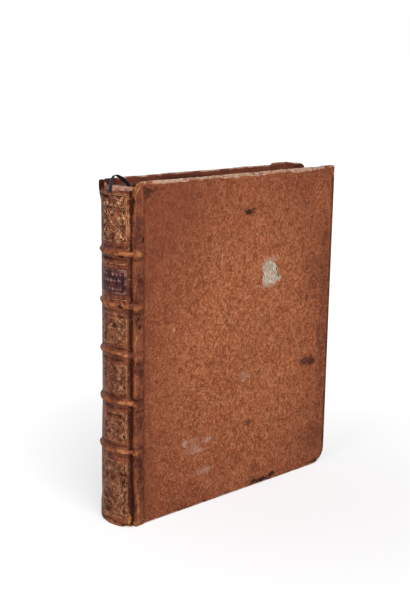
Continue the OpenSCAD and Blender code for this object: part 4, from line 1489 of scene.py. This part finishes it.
# where the photograph was taken from, in mm and degrees
shot = {
    "eye": (-569.0, -733.5, 418.8), "lens": 63.8, "sensor": 36,
    "yaw": 42.577, "pitch": 13.2475, "roll": -0.844,
    # place, target, size in m, power in W, color
    "lights": {"key": ((-350, -1150, 1000), (100, -20, 150), 0.9, 16.5, (1.0, 0.985, 0.965)),
               "side": ((-1300, -250, 700), (0, 0, 160), 0.7, 7, (1.0, 0.99, 0.98))},
    "floor": (0.50, 0.503, 0.52, 1), "floorHalf": 6,
    "glow": (0.57, 0.42), "glowMiddle": (0.0, -0.14, 0), "glowReach": 0.8,
    "skyLight": (0.20, 0.20, 0.21), "skySeen": (1.0, 1.0, 1.0),
}


def addCamera():
    yaw, pitch, roll = (math.radians(shot[k]) for k in ("yaw", "pitch", "roll"))
    ahead = Vector((math.sin(yaw) * math.cos(pitch), math.cos(yaw) * math.cos(pitch), -math.sin(pitch)))
    right = Vector((math.cos(yaw), -math.sin(yaw), 0))
    down = ahead.cross(right)
    turned = right * math.cos(roll) + down * math.sin(roll)
    lower = -right * math.sin(roll) + down * math.cos(roll)
    data = bpy.data.cameras.new("camera")
    data.lens = shot["lens"]
    data.sensor_width = shot["sensor"]
    data.clip_start, data.clip_end = 0.05, 20
    camera = newObject("camera", data)
    axes = Matrix((turned, -lower, -ahead)).transposed().to_4x4()
    camera.matrix_world = Matrix.Translation(Vector(toFrame(shot["eye"]))) @ axes
    bpy.context.scene.camera = camera


def addLight(name, place, target, size, power, color):
    data = bpy.data.lights.new(name, "AREA")
    data.shape, data.size, data.energy, data.color = "SQUARE", size, power, color
    at, to = Vector(toFrame(place)), Vector(toFrame(target))
    turned = (to - at).to_track_quat("-Z", "Y").to_matrix().to_4x4()
    newObject(name, data).matrix_world = Matrix.Translation(at) @ turned


def seenRay(tree):
    path = addNode(tree, "ShaderNodeLightPath")
    seen = calc(tree, "MAXIMUM", path["Is Camera Ray"], path["Is Glossy Ray"])
    return calc(tree, "MAXIMUM", seen, path["Is Transmission Ray"])


def addStage():
    s = newMaterial("paleFloor", 0.95, 0.0)
    s.feed("Base Color", shot["floor"])
    # only what looks at the floor sees its glow; it is white a little way off
    s.feed("Emission Color", (1, 1, 1, 1))
    away = s.add("VectorMath", {0: s.where, 1: shot["glowMiddle"]}, operation="DISTANCE")["Value"]
    least, more = shot["glow"]
    glow = s.plus(s.times(s.step(away, 0.0, shot["glowReach"]), more), least)
    s.feed("Emission Strength", s.times(seenRay(s.tree), glow))
    mesh = bpy.data.meshes.new("floor")
    half = shot["floorHalf"]
    corners = [(-half, -half, 0), (half, -half, 0), (half, half, 0), (-half, half, 0)]
    mesh.from_pydata(corners, [], [(0, 1, 2, 3)])
    mesh.materials.append(s.material)
    floor = newObject("floor", mesh)
    world = bpy.data.worlds.new("studio")
    world.use_nodes = True
    tree = world.node_tree
    sky = Shade(tree, None).mix(seenRay(tree), shot["skyLight"], shot["skySeen"])
    tree.links.new(sky, tree.nodes["Background"].inputs["Color"])
    bpy.context.scene.world = world


addCamera()
for name, values in shot["lights"].items():
    addLight(name, *values)
addStage()
bpy.context.scene.view_settings.view_transform = "Standard"
